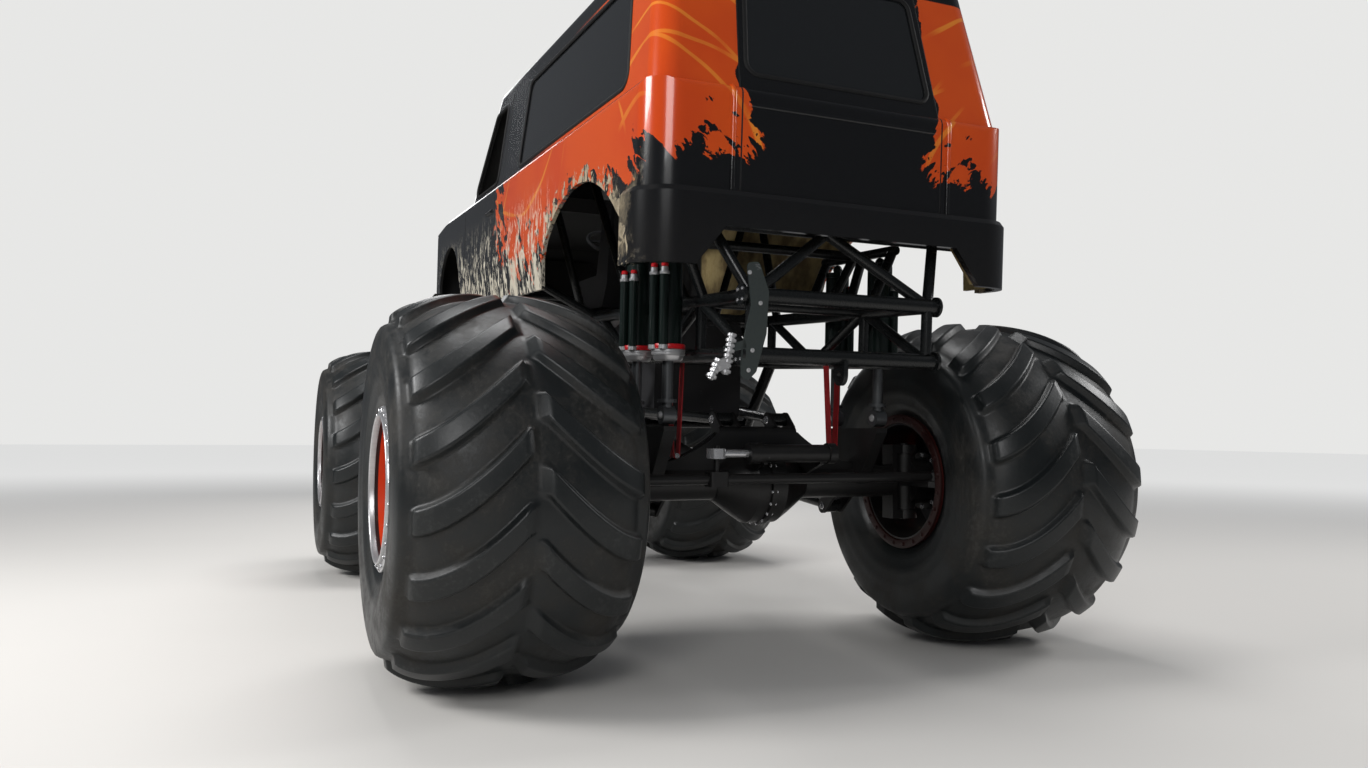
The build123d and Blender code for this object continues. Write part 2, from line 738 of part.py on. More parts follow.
def cage_rows():
    """The roll cage: two hoops, roof rails and rear stays."""
    rows = []
    top_z, side_z = ROOF_Z - CAGE_DROP, BELT_Z - CAGE_RAIL_DOWN
    ty, sy = CAGE_TOP_Y, CAGE_SIDE_Y
    for x_top, x_foot in ((HOOP_X, HOOP_X), (CAGE_FRONT_X, CAGE_FOOT_X)):
        rows.append(("roll_cage", (x_top, -ty, top_z), (x_top, ty, top_z), BRACE_R, BRACE_R))
        for s in (1, -1):
            rows.append(("roll_cage", (x_top, s * ty, top_z), (x_foot, s * sy, side_z), BRACE_R, 0))
            rows.append(("roll_cage", (x_foot, s * sy, side_z), (x_foot, s * FRAME_HW, UPPER_Z), BRACE_R, 0))
    rail_y = ty - 2 * BRACE_R - 4
    for s in (1, -1):
        rows.append(("roll_cage", (HOOP_X, s * rail_y, top_z), (CAGE_FRONT_X, s * rail_y, top_z), BRACE_R, 0))
        stay_foot = (-KICK_X - 60, s * FRAME_HW, UPPER_Z)
        rows.append(("roll_cage", (HOOP_X, s * ty, top_z), stay_foot, BRACE_R, 0))
        rows.append(("roll_cage", (HOOP_X, s * sy, side_z), (CAGE_FOOT_X, s * sy, side_z), BRACE_R, 0))
    return rows


def tail_rows():
    """The bar inside the tail, the inverted V up to it and its outer stays."""
    x, hw = -FRAME_END, FRAME_HW
    top_x, top_z = x + V_APEX_IN, UPPER_Z + V_APEX_UP
    rows = [("frame_end_hoops", (top_x, -BODY_HW + 8, top_z), (top_x, BODY_HW - 8, top_z), BRACE_R, 0)]
    for s in (1, -1):
        rows.append(("frame_end_hoops", (x, s * hw, UPPER_Z), (top_x, 0, top_z), BRACE_R, 0))
    for s in (1, -1):
        rows.append(("frame_end_hoops", (x, s * hw, UPPER_Z), (top_x, s * TAIL_BAR_Y, top_z), BRACE_R, 0))
    return rows


def hoop_caps():
    """End plates on the cross bars of both end hoops."""
    out = FRAME_HW + 40 + TUBE_GAP + END_CAP_T / 2
    ends = [(fore * FRAME_END, s * out) for fore in (1, -1) for s in (1, -1)]
    return [disc((x, y, z), (0, 1, 0), END_CAP_R, END_CAP_T) for x, y in ends for z in (UPPER_Z, LOWER_Z)]


def frame_groups():
    """Every tube as a solid of its own, cut clear of the tubes before it."""
    done, groups = [], {}
    wall = shell_wall()
    for group, a, b, r, extend in tube_table():
        solid = bar(a, b, r, extend)
        box = solid.bounding_box()
        near = []
        for other, other_box in done:
            apart = (
                box.min.X > other_box.max.X or box.max.X < other_box.min.X
                or box.min.Y > other_box.max.Y or box.max.Y < other_box.min.Y
                or box.min.Z > other_box.max.Z or box.max.Z < other_box.min.Z
            )
            if not apart:
                near.append(other)
        if near:
            solid = solid.cut(*near)
        if a[0] == b[0] and abs(a[1]) > TAIL_BAR_Y and a[2] > ROCKER_Z:
            solid = solid.cut(wall)
        groups.setdefault(group, []).append(largest(solid))
        grown = bar(a, b, r + TUBE_GAP, extend + (TUBE_GAP if extend else 0))
        done.append((grown, grown.bounding_box()))
    groups["frame_end_hoops"] += hoop_caps()
    return groups


# Body shell


def cabin_at(z):
    """Half width, tail and front of the cabin at a height: it narrows from belt to roof."""
    t = (z - BELT_Z) / (ROOF_Z - BELT_Z)
    pairs = ((CABIN_HW, ROOF_HW), (CABIN_TAIL_X, HATCH_TOP_X), (COWL_X, ROOF_FRONT_X))
    return [low + (high - low) * t for low, high in pairs]


def lean(low, high):
    """A leaning wall's thickness along the level, for a thickness of one square to it."""
    return hypot(high - low, ROOF_Z - BELT_Z) / (ROOF_Z - BELT_Z)


def cabin_section(z, inset):
    """A rounded rectangle round the cabin at a height."""
    hw, tail, front = cabin_at(z)
    hw -= inset * lean(CABIN_HW, ROOF_HW)
    tail += inset * lean(CABIN_TAIL_X, HATCH_TOP_X)
    front -= inset * lean(COWL_X, ROOF_FRONT_X)
    return Pos((tail + front) / 2, 0, z) * RectangleRounded(front - tail, 2 * hw, CABIN_CORNER_R - inset)


def cabin_envelope(inset):
    """The cabin's closed form, its roof edge rounded."""
    foot, top = BELT_Z - CABIN_FOOT, ROOF_Z - inset
    solid = loft([cabin_section(foot, inset), cabin_section(top, inset)], ruled=True)
    roof_edges = solid.faces().sort_by(Axis.Z)[-1].edges()
    return fillet(roof_edges, ROOF_ROUND - inset)


def side_outline(inset):
    """The lower body from the side, drawn in by the inset."""
    bottom = ROCKER_Z - SKIRT
    points = [
        (TAIL_X, bottom), (TAIL_X, BELT_Z), (ROOF_FRONT_X, BELT_Z), (COWL_X, HOOD_Z + HOOD_CROWN),
        (NOSE_X - NOSE_SLOPE, HOOD_NOSE_Z), (NOSE_X, HOOD_NOSE_Z - NOSE_SLOPE), (NOSE_X, bottom),
    ]
    face = make_face(Polyline(*points, close=True))
    nose = face.vertices().filter_by(lambda v: v.X > COWL_X and v.Y > bottom + 1)
    face = fillet(nose, NOSE_ROUND)
    face = fillet(face.vertices().sort_by_distance((TAIL_X, BELT_Z))[0], SHOULDER_R)
    return offset(face, -inset) if inset else face


def section_outline(inset):
    """The lower body from behind: upright flanks, round shoulders and a crowned hood."""
    bottom = ROCKER_Z - SKIRT
    half = [
        (BODY_HW - TUCK * (1 + SKIRT / TUCK_H), bottom), (BODY_HW, ROCKER_Z + TUCK_H), (BODY_HW, BELT_Z),
        (HOOD_HW, HOOD_Z), (0, HOOD_Z + HOOD_CROWN),
    ]
    points = half + [(-y, z) for y, z in reversed(half[:-1])]
    face = make_face(Polyline(*points, close=True))
    shoulders = [face.vertices().sort_by_distance((s * BODY_HW, BELT_Z))[0] for s in (1, -1)]
    face = fillet(shoulders, SHOULDER_R)
    return offset(face, -inset) if inset else face


def plan_outline(inset):
    """The lower body from above, its corners rounded."""
    return Pos((NOSE_X + TAIL_X) / 2, 0) * RectangleRounded(
        NOSE_X - TAIL_X - 2 * inset, 2 * (BODY_HW - inset), CORNER_R - inset
    )


def body_envelope(inset):
    """The body's closed form: side, section and plan carried through each other, and the cabin on it."""
    side = Pos(0, FAR, 0) * extrude(Plane.XZ * side_outline(inset), 2 * FAR)
    section = Pos(-2 * FAR, 0, 0) * extrude(Plane.YZ * section_outline(inset), 4 * FAR)
    plan = extrude(plan_outline(inset), ROOF_Z)
    return (side & section & plan) + cabin_envelope(inset)


def shell_between(out, inn):
    """The body's skin between two insets, open below its rockers."""
    skin = body_envelope(out) - body_envelope(inn)
    return skin & block((-2 * FAR, 2 * FAR), (-FAR, FAR), (ROCKER_Z, ROOF_Z + 100))


def shell_wall():
    """The shell's thickness, with a seat's gap inside it."""
    return shell_between(0, WALL + SEAT_GAP)


def arch_cutter(i):
    """A tall rounded wheel opening, cut through both flanks."""
    x, half, top = ARCH_X[i], ARCH_HALF[i], ARCH_TOP_Z[i]
    low = ROCKER_Z - 60
    shoulder = ROCKER_Z + (top - ROCKER_Z) * 0.35
    wire = Polyline((x - half + 40, shoulder), (x - half, low), (x + half, low), (x + half - 60, shoulder))
    wire += ThreePointArc((x + half - 60, shoulder), (x + half * 0.1, top), (x - half + 40, shoulder))
    return Pos(0, FAR, 0) * extrude(Plane.XZ * make_face(wire), 2 * FAR)


def side_window(points, inset=0.0):
    """A side window's prism, right through the body."""
    face = fillet(make_face(Polyline(*points, close=True)).vertices(), WINDOW_R)
    if inset:
        face = offset(face, -inset)
    return Pos(0, FAR, 0) * extrude(Plane.XZ * face, 2 * FAR)


def end_window(points, x0, x1, inset=0.0):
    """A front or rear window's prism along X."""
    face = fillet(make_face(Polyline(*points, close=True)).vertices(), WINDOW_R)
    if inset:
        face = offset(face, -inset)
    return Pos(x0, 0, 0) * extrude(Plane.YZ * face, x1 - x0)


def glass_heights():
    return BELT_Z + WINDOW_UP, ROOF_Z - WINDOW_DOWN


def door_window(inset=0.0):
    low, high = glass_heights()
    rear = DOOR_REAR_X + PILLAR_A
    front = [cabin_at(z)[2] - PILLAR_A for z in (low, high)]
    return side_window([(rear, low), (front[0], low), (front[1], high), (rear, high)], inset)


def quarter_window(inset=0.0):
    low, high = glass_heights()
    rear = [cabin_at(z)[1] + PILLAR_D for z in (low, high)]
    return side_window([(rear[0], low), (PILLAR_B_X, low), (PILLAR_B_X, high), (rear[1], high)], inset)


def rear_window(inset=0.0):
    low, high = glass_heights()
    low += HATCH_SILL - WINDOW_UP
    a, b = HATCH_HW - HATCH_FRAME, HATCH_HW - HATCH_FRAME - HATCH_TAPER
    return end_window([(-a, low), (a, low), (b, high), (-b, high)], TAIL_X - 100, HATCH_TOP_X + 180, inset)


def windscreen(inset=0.0):
    low, high = HOOD_Z + 2 * WINDOW_UP, glass_heights()[1]
    a, b = (cabin_at(z)[0] - PILLAR_A - CABIN_CORNER_R / 2 for z in (low, high))
    return end_window([(-a, low), (a, low), (b, high), (-b, high)], ROOF_FRONT_X - 60, COWL_X + 60, inset)


def hatch_prism(grow):
    """The tailgate's outline from behind, wider at the belt than at the top."""
    low, high = HATCH_Z - grow, ROOF_Z - ROOF_SEAM_DOWN - 30 + grow
    wide, narrow = HATCH_HW + grow, HATCH_HW - HATCH_TAPER + grow
    points = [(-wide, low), (wide, low), (wide, BELT_Z), (narrow, high), (-narrow, high), (-wide, BELT_Z)]
    return outline_yz(points, TAIL_X - 200, HATCH_TOP_X + 180)


def tail_gap():
    """What is cut away under the tail, between the bumper's dropped ends."""
    top = BUMPER_MID_Z + 10
    drop, flat, low = BUMPER_DROP_Y, BUMPER_FLAT_Y, BUMPER_LOW_Z
    return outline_yz([(-drop, low), (drop, low), (flat, top), (-flat, top)], TAIL_X - 200, TAIL_X + 400)


def grille_slots():
    """Long slots through the nose, one over another."""
    slot = extrude(Plane.YZ * RectangleRounded(SLOT_W, SLOT_H, SLOT_H / 2 - 2), 200)
    first = GRILLE_Z - GRILLE_PITCH * (GRILLE_SLOTS - 1) / 2
    places = [(NOSE_X - 100, 0, first + i * GRILLE_PITCH) for i in range(GRILLE_SLOTS)]
    return Compound([slot.moved(Location(place)) for place in places])


def lamp_places():
    return [(NOSE_X, s * LAMP_Y, GRILLE_Z) for s in (1, -1)]


def headlamps():
    """Round lamps set in the nose, each with a raised rim."""
    lamps = []
    for x, y, z in lamp_places():
        lens = bar((x - WALL, y, z), (x + 6, y, z), LAMP_R - SEAT_GAP)
        rim = bar((x + SEAT_GAP, y, z), (x + 10, y, z), LAMP_R + LAMP_RIM)
        lamps.append(lens + (rim - bar((x, y, z), (x + 20, y, z), LAMP_R - LAMP_RIM)))
    return Compound(lamps)


def body_panels():
    """The shell parted where the real panels meet."""
    shell = shell_between(0, WALL)
    for i in (0, 1):
        shell -= arch_cutter(i)
    for cut in (door_window(), quarter_window(), rear_window(), windscreen(), tail_gap(), grille_slots()):
        shell -= cut
    for x, y, z in lamp_places():
        shell -= bar((x - 100, y, z), (x + 100, y, z), LAMP_R)
    high = ROOF_Z + 100
    g = PANEL_GAP / 2
    roof_z = ROOF_Z - ROOF_SEAM_DOWN
    pieces = {}
    pieces["tailgate"] = shell & hatch_prism(-g)
    body = shell - hatch_prism(g)
    screen_low = BELT_Z + 5
    seam = [(cabin_at(z)[2] - PILLAR_A + DOOR_FRAME, z) for z in (roof_z, screen_low)]
    roof_zone = block((-2 * FAR, COWL_X + 20), (-FAR, FAR), (roof_z, high))
    roof_zone += outline_xz(
        [(seam[0][0], high), seam[0], seam[1], (COWL_X + 30, screen_low), (COWL_X + 30, high)], -FAR, FAR
    )
    pieces["roof_panel"] = body & roof_zone
    body -= roof_zone
    hood_zone = block((ROOF_FRONT_X, NOSE_PANEL_X), (-HOOD_HW, HOOD_HW), (HOOD_NOSE_Z - NOSE_SLOPE, high))
    pieces["hood"] = body & hood_zone
    body -= hood_zone
    nose_zone = block((NOSE_PANEL_X, 2 * FAR), (-HOOD_HW, HOOD_HW), (0, high))
    pieces["front_panel"] = body & nose_zone
    body -= nose_zone
    sill = ROCKER_Z + DOOR_SILL
    door_zone = block((DOOR_REAR_X + g, DOOR_FRONT_X - g), (-FAR, FAR), (sill, high))
    door_gap = block((DOOR_REAR_X - g, DOOR_FRONT_X + g), (-FAR, FAR), (sill - 2 * g, high))
    pieces["doors"] = body & door_zone
    body -= door_gap
    pieces["quarter_panels"] = body & block((-2 * FAR, DOOR_REAR_X - g), (-FAR, FAR), (0, high))
    pieces["front_fenders"] = body & block((DOOR_REAR_X - g, 2 * FAR), (-FAR, FAR), (0, high))
    return pieces


def bumper_ring(low, high):
    """A moulded ring round the body, its upper outer edge bevelled."""
    middle = Pos((NOSE_X + TAIL_X) / 2, 0)
    outer, inner = (
        middle * RectangleRounded(NOSE_X - TAIL_X + 2 * out, 2 * (BODY_HW + out), CORNER_R + out)
        for out in (BUMPER_T, SEAT_GAP)
    )
    ring = Pos(0, 0, low) * extrude(outer, high - BUMPER_BEVEL - low)
    ring += Pos(0, 0, high - BUMPER_BEVEL) * extrude(outer, BUMPER_BEVEL, taper=BUMPER_TAPER)
    return ring - Pos(0, 0, low - 50) * extrude(inner, high - low + 100)


def rear_bumper():
    """A moulded bumper round the tail, its ends dropped."""
    high = BUMPER_TOP_Z + 10
    half = [(FAR, high), (FAR, BUMPER_LOW_Z), (BUMPER_DROP_Y, BUMPER_LOW_Z), (BUMPER_FLAT_Y, BUMPER_MID_Z)]
    points = half + [(-y, z) for y, z in reversed(half)]
    profile = outline_yz(points, TAIL_X - 100, TAIL_X + BUMPER_WRAP)
    return bumper_ring(BUMPER_LOW_Z - 50, BUMPER_TOP_Z) & profile


def front_bumper():
    """A plain moulded bumper round the nose."""
    ring = bumper_ring(ROCKER_Z + 20, ROCKER_Z + 20 + FRONT_BUMPER_H)
    return ring & block((NOSE_X - FRONT_BUMPER_WRAP, NOSE_X + 100), (-FAR, FAR), (0, 2 * FAR))


def window_panes():
    """The panes, set flush in the shell's openings."""
    skin = shell_between(GLASS_IN, GLASS_IN + GLASS_T)
    return [skin & window(SEAT_GAP) for window in (quarter_window, rear_window, windscreen)]


# Cabin, engine and drive


def cabin_floor():
    z = UPPER_Z + MAIN_R + SEAT_GAP
    plate = block(FLOOR_X, (-FRAME_HW - 6, FRAME_HW + 6), (z, z + FLOOR_T))
    return plate


def driver_seat():
    """A bucket seat on two rails."""
    z = UPPER_Z + MAIN_R + SEAT_GAP + FLOOR_T
    x = SEAT_X
    side = [
        (x - 220, z + 60), (x + 260, z + 60), (x + 280, z + 230), (x + 230, z + 250), (x + 200, z + 150),
        (x - 120, z + 120), (x - 190, z + 250), (x - 320, z + 900), (x - 390, z + 890), (x - 300, z + 200),
    ]
    wing = [
        (x - 220, z + 60), (x + 260, z + 60), (x + 280, z + 260), (x - 90, z + 270), (x - 170, z + 560),
        (x - 210, z + 700), (x - 350, z + 700), (x - 300, z + 200),
    ]
    seat = outline_xz(side, -230, 230)
    for s in (1, -1):
        seat += outline_xz(wing, s * 240 - 15, s * 240 + 15)
        seat += block((x - 180, x + 220), (s * 150 - 20, s * 150 + 20), (z, z + 62))
    return seat


def steering_wheel():
    """Rim, spokes and column on the floor."""
    z = UPPER_Z + MAIN_R + SEAT_GAP + FLOOR_T
    hub = (SEAT_X + 420, 0, z + 560)
    foot = (SEAT_X + 800, 0, z)
    along = Vector(hub[0] - foot[0], 0, hub[2] - foot[2]).normalized()
    plane = Plane(origin=hub, z_dir=along)
    rim = plane * Torus(150, 13)
    spokes = None
    for i in range(3):
        spoke = plane * (Rot(0, 0, 120 * i + 90) * Pos(75, 0, 0) * Box(150, 30, 8))
        spokes = spoke if spokes is None else spokes + spoke
    column = bar(foot, hub, 22) - block((0, 3000), (-100, 100), (z - 200, z))
    return rim + spokes + column


def engine_block():
    z = BELLY_Z + CRADLE_UP + BRACE_R + SEAT_GAP
    return fillet(
        block(ENGINE_X, (-ENGINE_HW, ENGINE_HW), (z, z + ENGINE_H)).edges().filter_by(Axis.X), 60
    )


def transfer_case():
    z = BELLY_Z + BRACE_R + SEAT_GAP
    case = fillet(block(CASE_X, (-CASE_HW, CASE_HW), (z, z + CASE_H)).edges().filter_by(Axis.X), 70)
    flange_z = z + CASE_H / 2
    for x in CASE_X:
        case += bar((x - 20, 0, flange_z), (x + 20, 0, flange_z), SHAFT_YOKE_R + 10)
    return case


def drive_shaft(fore):
    """A shaft from the transfer case to an axle's pinion."""
    z = BELLY_Z + BRACE_R + SEAT_GAP + CASE_H / 2
    face = CASE_X[1] if fore > 0 else CASE_X[0]
    a = Vector(*raked(face + fore * (20 + SEAT_GAP + SHAFT_YOKE_L / 2), 0, z))
    b = Vector(fore * (AXLE_X - PINION_L - SEAT_GAP - SHAFT_YOKE_L / 2), 0, AXLE_Z + PINION_UP)
    solid = bar(tuple(a), tuple(b), SHAFT_R)
    case_dir = Vector(*raked(1, 0, 0)) - Vector(*raked(0, 0, 0))
    half = SHAFT_YOKE_L / 2
    solid += bar(tuple(a - case_dir * half), tuple(a + case_dir * half), SHAFT_YOKE_R)
    solid += bar(tuple(b - Vector(half, 0, 0)), tuple(b + Vector(half, 0, 0)), SHAFT_YOKE_R)
    return solid


def link_brackets():
    """Lugs for the links' frame ends, hung from the belly rails and stood on them."""
    out = []
    for fore in (1, -1):
        for s in (1, -1):
            z = BELLY_Z - MAIN_R - LINK_EYE_R - 6
            x = fore * BELLY_X / 2
            knee = (fore * BELLY_X, s * FRAME_HW, BELLY_Z)
            rail = bar((-fore * BELLY_X, s * FRAME_HW, BELLY_Z), knee, MAIN_R + TUBE_GAP)
            for k in (1, -1):
                y = s * FRAME_HW + k * (LINK_EYE_W / 2 + SEAT_GAP + BRACKET_T / 2)
                plate = outline_xz(
                    [
                        (x - LINK_EYE_R, z - LINK_EYE_R), (x + LINK_EYE_R, z - LINK_EYE_R),
                        (x + LINK_EYE_R + 30, BELLY_Z + 8), (x - LINK_EYE_R - 30, BELLY_Z + 8),
                    ],
                    y - BRACKET_T / 2, y + BRACKET_T / 2,
                )
                out.append(largest(plate - rail))
            eye_x, eye_z = fore * UPPER_LINK_X, kick_z(UPPER_LINK_X)
            inner = upper_eye_y() + LINK_EYE_W / 2 + SEAT_GAP
            boss = bar((eye_x, s * inner, eye_z), (eye_x, s * FRAME_HW, eye_z), LINK_BOSS_R)
            kick = bar(knee, (fore * KICK_X, s * FRAME_HW, LOWER_Z), MAIN_R + TUBE_GAP)
            out.append(min((boss - kick).solids(), key=lambda b: abs(b.center().Y)))
    return out


def tow_tabs():
    """Tabs with a tow bore under each end hoop."""
    out = []
    for fore in (1, -1):
        z = LOWER_Z - MAIN_R - TOW_TAB_R
        x = fore * FRAME_END
        tab = disc((x, 0, z), (0, 1, 0), TOW_TAB_R, TOW_TAB_T)
        tab += block((x - TOW_TAB_R, x + TOW_TAB_R), (-TOW_TAB_T / 2, TOW_TAB_T / 2), (z, LOWER_Z - 10))
        tab -= bar((x, -50, LOWER_Z), (x, 50, LOWER_Z), MAIN_R + TUBE_GAP)
        tab -= disc((x, 0, z), (0, 1, 0), TOW_EYE_R, TOW_TAB_T * 2)
        out.append(largest(tab))
    return out


def body_mounts():
    """Short tubes from the upper rails to the inside of the shell."""
    wall = shell_wall()
    out = []
    for x in MOUNT_X:
        for s in (1, -1):
            tube = bar((x, s * FRAME_HW, UPPER_Z), (x, s * (BODY_HW - 12), ROCKER_Z + 110), BRACE_R)
            rail_ends = [(end * FRAME_END, s * FRAME_HW, UPPER_Z) for end in (-1, 1)]
            rail = bar(*rail_ends, MAIN_R + TUBE_GAP)
            out.append(largest(tube.cut(rail, wall)))
    return out


# The whole truck


def build():
    nodes = {}
    wheel_shape, tyre_shape = wheel(), tyre()
    knuckle_shape = knuckle()
    for name, fore, side in CORNERS:
        nodes["wheel_" + name] = at_corner(wheel_shape, fore, side)
        nodes["tyre_" + name] = tyre_shape.moved(wheel_place(fore, side))
        nodes["knuckle_" + name] = mirrored(knuckle_shape, fore, side)
    axle_shape, rod, ram, barrel = axle(), tie_rod(), ram_rod(), ram_barrel()
    for name, fore in ENDS:
        nodes[name + "_axle"] = mirrored(axle_shape, fore, 1)
        nodes["tie_rod_" + name] = mirrored(rod, fore, 1)
        nodes["ram_rod_" + name] = mirrored(ram, fore, 1)
    nodes["steering_rams"] = Compound([mirrored(barrel, fore, 1) for _, fore in ENDS])
    corners = [(fore, side) for _, fore in ENDS for side in (1, -1)]
    ends = [pair(f, s) for pair in (lower_link_ends, upper_link_ends) for f, s in corners]
    nodes["suspension_links"] = Compound([link(a, b) for a, b in ends])
    shocks = [shock_ends(f, s, x) for f, s in corners for x in SHOCK_X]
    nodes["shock_bodies"] = Compound([shock_body(*ends) for ends in shocks])
    nodes["shock_rods"] = Compound([shock_rod(*ends) for ends in shocks])
    nodes["drive_shafts"] = Compound([drive_shaft(fore) for _, fore in ENDS])
    sprung = {name: Compound(tubes) for name, tubes in frame_groups().items()}
    sprung.update(body_panels())
    sprung["window_panes"] = Compound([p for pane in window_panes() for p in pane.solids()])
    sprung["rear_bumper"] = rear_bumper()
    sprung["front_bumper"] = front_bumper()
    sprung["headlamps"] = headlamps()
    sprung["cabin_floor"] = cabin_floor()
    sprung["driver_seat"] = driver_seat()
    sprung["steering_wheel"] = steering_wheel()
    sprung["engine_block"] = engine_block()
    sprung["transfer_case"] = transfer_case()
    sprung["frame_brackets"] = Compound(link_brackets() + tow_tabs() + body_mounts())
    for name, shape in sprung.items():
        nodes[name] = rake(shape)
    return nodes


os.makedirs("parts", exist_ok=True)
for node, shape in build().items():
    export_step(Compound(shape.solids()), "parts/" + node + ".step")
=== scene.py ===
"""Looks of a monster truck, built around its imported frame.

Every length is in metres. +X is forward, +Y the truck's left, +Z up, and the ground is at z = 0.
"""

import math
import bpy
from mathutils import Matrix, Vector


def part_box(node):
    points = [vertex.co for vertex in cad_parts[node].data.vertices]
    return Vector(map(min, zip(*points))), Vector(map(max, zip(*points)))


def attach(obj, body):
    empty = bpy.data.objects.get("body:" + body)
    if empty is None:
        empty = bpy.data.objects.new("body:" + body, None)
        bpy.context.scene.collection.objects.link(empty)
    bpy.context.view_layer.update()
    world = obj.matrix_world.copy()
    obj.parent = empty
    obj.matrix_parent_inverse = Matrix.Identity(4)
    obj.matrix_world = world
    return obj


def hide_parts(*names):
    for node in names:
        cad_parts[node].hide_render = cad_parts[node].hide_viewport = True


bl_info = {
    "name": "Monster truck looks",
    "version": (1, 0, 0),
    "blender": (4, 5, 0),
    "location": "View3D > Sidebar > Truck",
    "description": "Tyres, paint, mud, metal and small parts of a monster truck",
    "category": "Object",
}

import bpy
import numpy as np
from bpy.props import FloatProperty, FloatVectorProperty, IntProperty, PointerProperty
from mathutils import Matrix, Vector

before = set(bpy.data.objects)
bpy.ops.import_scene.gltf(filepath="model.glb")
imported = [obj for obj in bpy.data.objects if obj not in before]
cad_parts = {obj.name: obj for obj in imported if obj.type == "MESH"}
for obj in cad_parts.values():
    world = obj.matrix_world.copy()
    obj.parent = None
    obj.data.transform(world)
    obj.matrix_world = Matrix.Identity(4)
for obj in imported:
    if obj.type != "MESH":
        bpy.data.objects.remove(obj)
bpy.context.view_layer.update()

CORNERS = (("fl", 1, 1), ("fr", 1, -1), ("rl", -1, 1), ("rr", -1, -1))
TYRE_LOW, TYRE_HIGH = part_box("tyre_fl")
TYRE_R = (TYRE_HIGH.z - TYRE_LOW.z) / 2
TYRE_HALF_W = (TYRE_HIGH.y - TYRE_LOW.y) / 2
AXLE_X = (TYRE_LOW.x + TYRE_HIGH.x) / 2
TRACK_Y = (TYRE_LOW.y + TYRE_HIGH.y) / 2
AXLE_Z = (TYRE_LOW.z + TYRE_HIGH.z) / 2
IMAGE_W = 1368
SENSOR_W = 36.0

# Frame and body before they are turned nose up
RAKE = math.radians(3.0)
RAKE_Z = 1.5
FRAME_HW = 0.430
FRAME_END = 2.570
UPPER_Z = 1.775
LOWER_Z = 1.535
BELLY_Z = 0.950
MAIN_R = 0.032
TAIL_X = -2.560
ROCKER_Z = 1.890
BELT_Z = 2.615
BODY_HW = 0.885
SHOULDER_R = 0.036
TUCK = 0.025
TUCK_Z = 2.130
TUCK_H = 0.240
ROOF_Z = 3.325
CABIN_HW = (0.853, 0.765)
CABIN_TAIL = (-2.528, -2.330)
CABIN_FRONT = (1.080, 0.560)
HATCH_HW = 0.490
HATCH_LOW = 2.190
HATCH_HIGH = 3.200
DOOR_X = (0.150, 1.090)
WINDOW_R = 0.055
ARCH_X = 1.615
ARCH_HALF = 0.695
ARCH_RISE = 0.440
GLASS_LOW = 2.660
GLASS_HIGH = 3.175

# Wheels, from the wheel's centre outwards
RIM_FACE = 0.457
HUB_FACE = 0.060
CAP_FACE = 0.092
DISC_FACE = -0.128

# Shocks, links and steering
SHOCK_X = (-0.180, 0.210)
SHOCK_Y = 0.560
SHOCK_FOOT_Z = AXLE_Z + 0.322
SHOCK_TOP_Z = 2.0317
SHOCK_R = 0.060
SHOCK_BODY_L = 0.520
SHOCK_CAP_L = 0.070
FOOT_HALF = 0.0305
BYPASS_R = 0.020
BYPASS_L = 0.330
BYPASS_TURNS = (-50, 0, 50)
BYPASS_OUT = SHOCK_R + BYPASS_R - 0.006
BYPASS_UP = 0.050
FERRULE_UP = 0.062
EYE_HALF = 0.0565
LOWER_LINK = (AXLE_X - 0.150, 0.520, AXLE_Z - 0.130)
UPPER_LINK = (AXLE_X - 0.070, 0.150, AXLE_Z + 0.310)
FLANGE_Y = 0.985


# Sizes and colours that a user would change


class TruckTyres(bpy.types.PropertyGroup):
    lugs: IntProperty(
        name="Lugs a side", description="Lugs on each side of a tyre's tread", default=18, min=8, max=40
    )
    lug_depth: FloatProperty(
        name="Lug depth", description="Height of the lugs over the carcass", default=0.034, unit="LENGTH"
    )
    round_steps: IntProperty(name="Steps round", description="Grid steps round a tyre", default=576, min=60)
    across_steps: IntProperty(
        name="Steps across", description="Grid steps from bead to bead", default=92, min=20
    )
    # The clean rubber's blue green tint is a painted sheen on black rubber
    rubber: FloatVectorProperty(
        name="Rubber", description="Colour of the clean rubber", default=(0.005, 0.0066, 0.0072),
        subtype="COLOR",
    )


class TruckPaint(bpy.types.PropertyGroup):
    orange: FloatVectorProperty(
        name="Orange", description="Body's orange", default=(0.56, 0.068, 0.006), subtype="COLOR"
    )
    amber: FloatVectorProperty(
        name="Amber", description="Brush strokes over the orange", default=(0.72, 0.25, 0.025),
        subtype="COLOR",
    )
    black: FloatVectorProperty(
        name="Black", description="Body's black", default=(0.004, 0.0045, 0.0055), subtype="COLOR"
    )
    mud: FloatVectorProperty(name="Mud", description="Dried mud", default=(0.36, 0.27, 0.17), subtype="COLOR")


class TruckStage(bpy.types.PropertyGroup):
    eye: FloatVectorProperty(
        name="Eye", description="Camera's place", default=(-6.177, 2.277, 1.091), subtype="TRANSLATION"
    )
    yaw: FloatProperty(
        name="Yaw", description="Turn from +X towards -Y", default=math.radians(23.36), subtype="ANGLE"
    )
    pitch: FloatProperty(name="Pitch", description="Look up", default=math.radians(2.65), subtype="ANGLE")
    roll: FloatProperty(
        name="Roll", description="Lean of the camera", default=math.radians(0.49), subtype="ANGLE"
    )
    focal_px: FloatProperty(name="Focal length", description="In pixels of the photograph", default=1005.6)
    floor: FloatVectorProperty(
        name="Floor", description="Floor's colour", default=(0.62, 0.6, 0.57), subtype="COLOR"
    )


# Node helpers


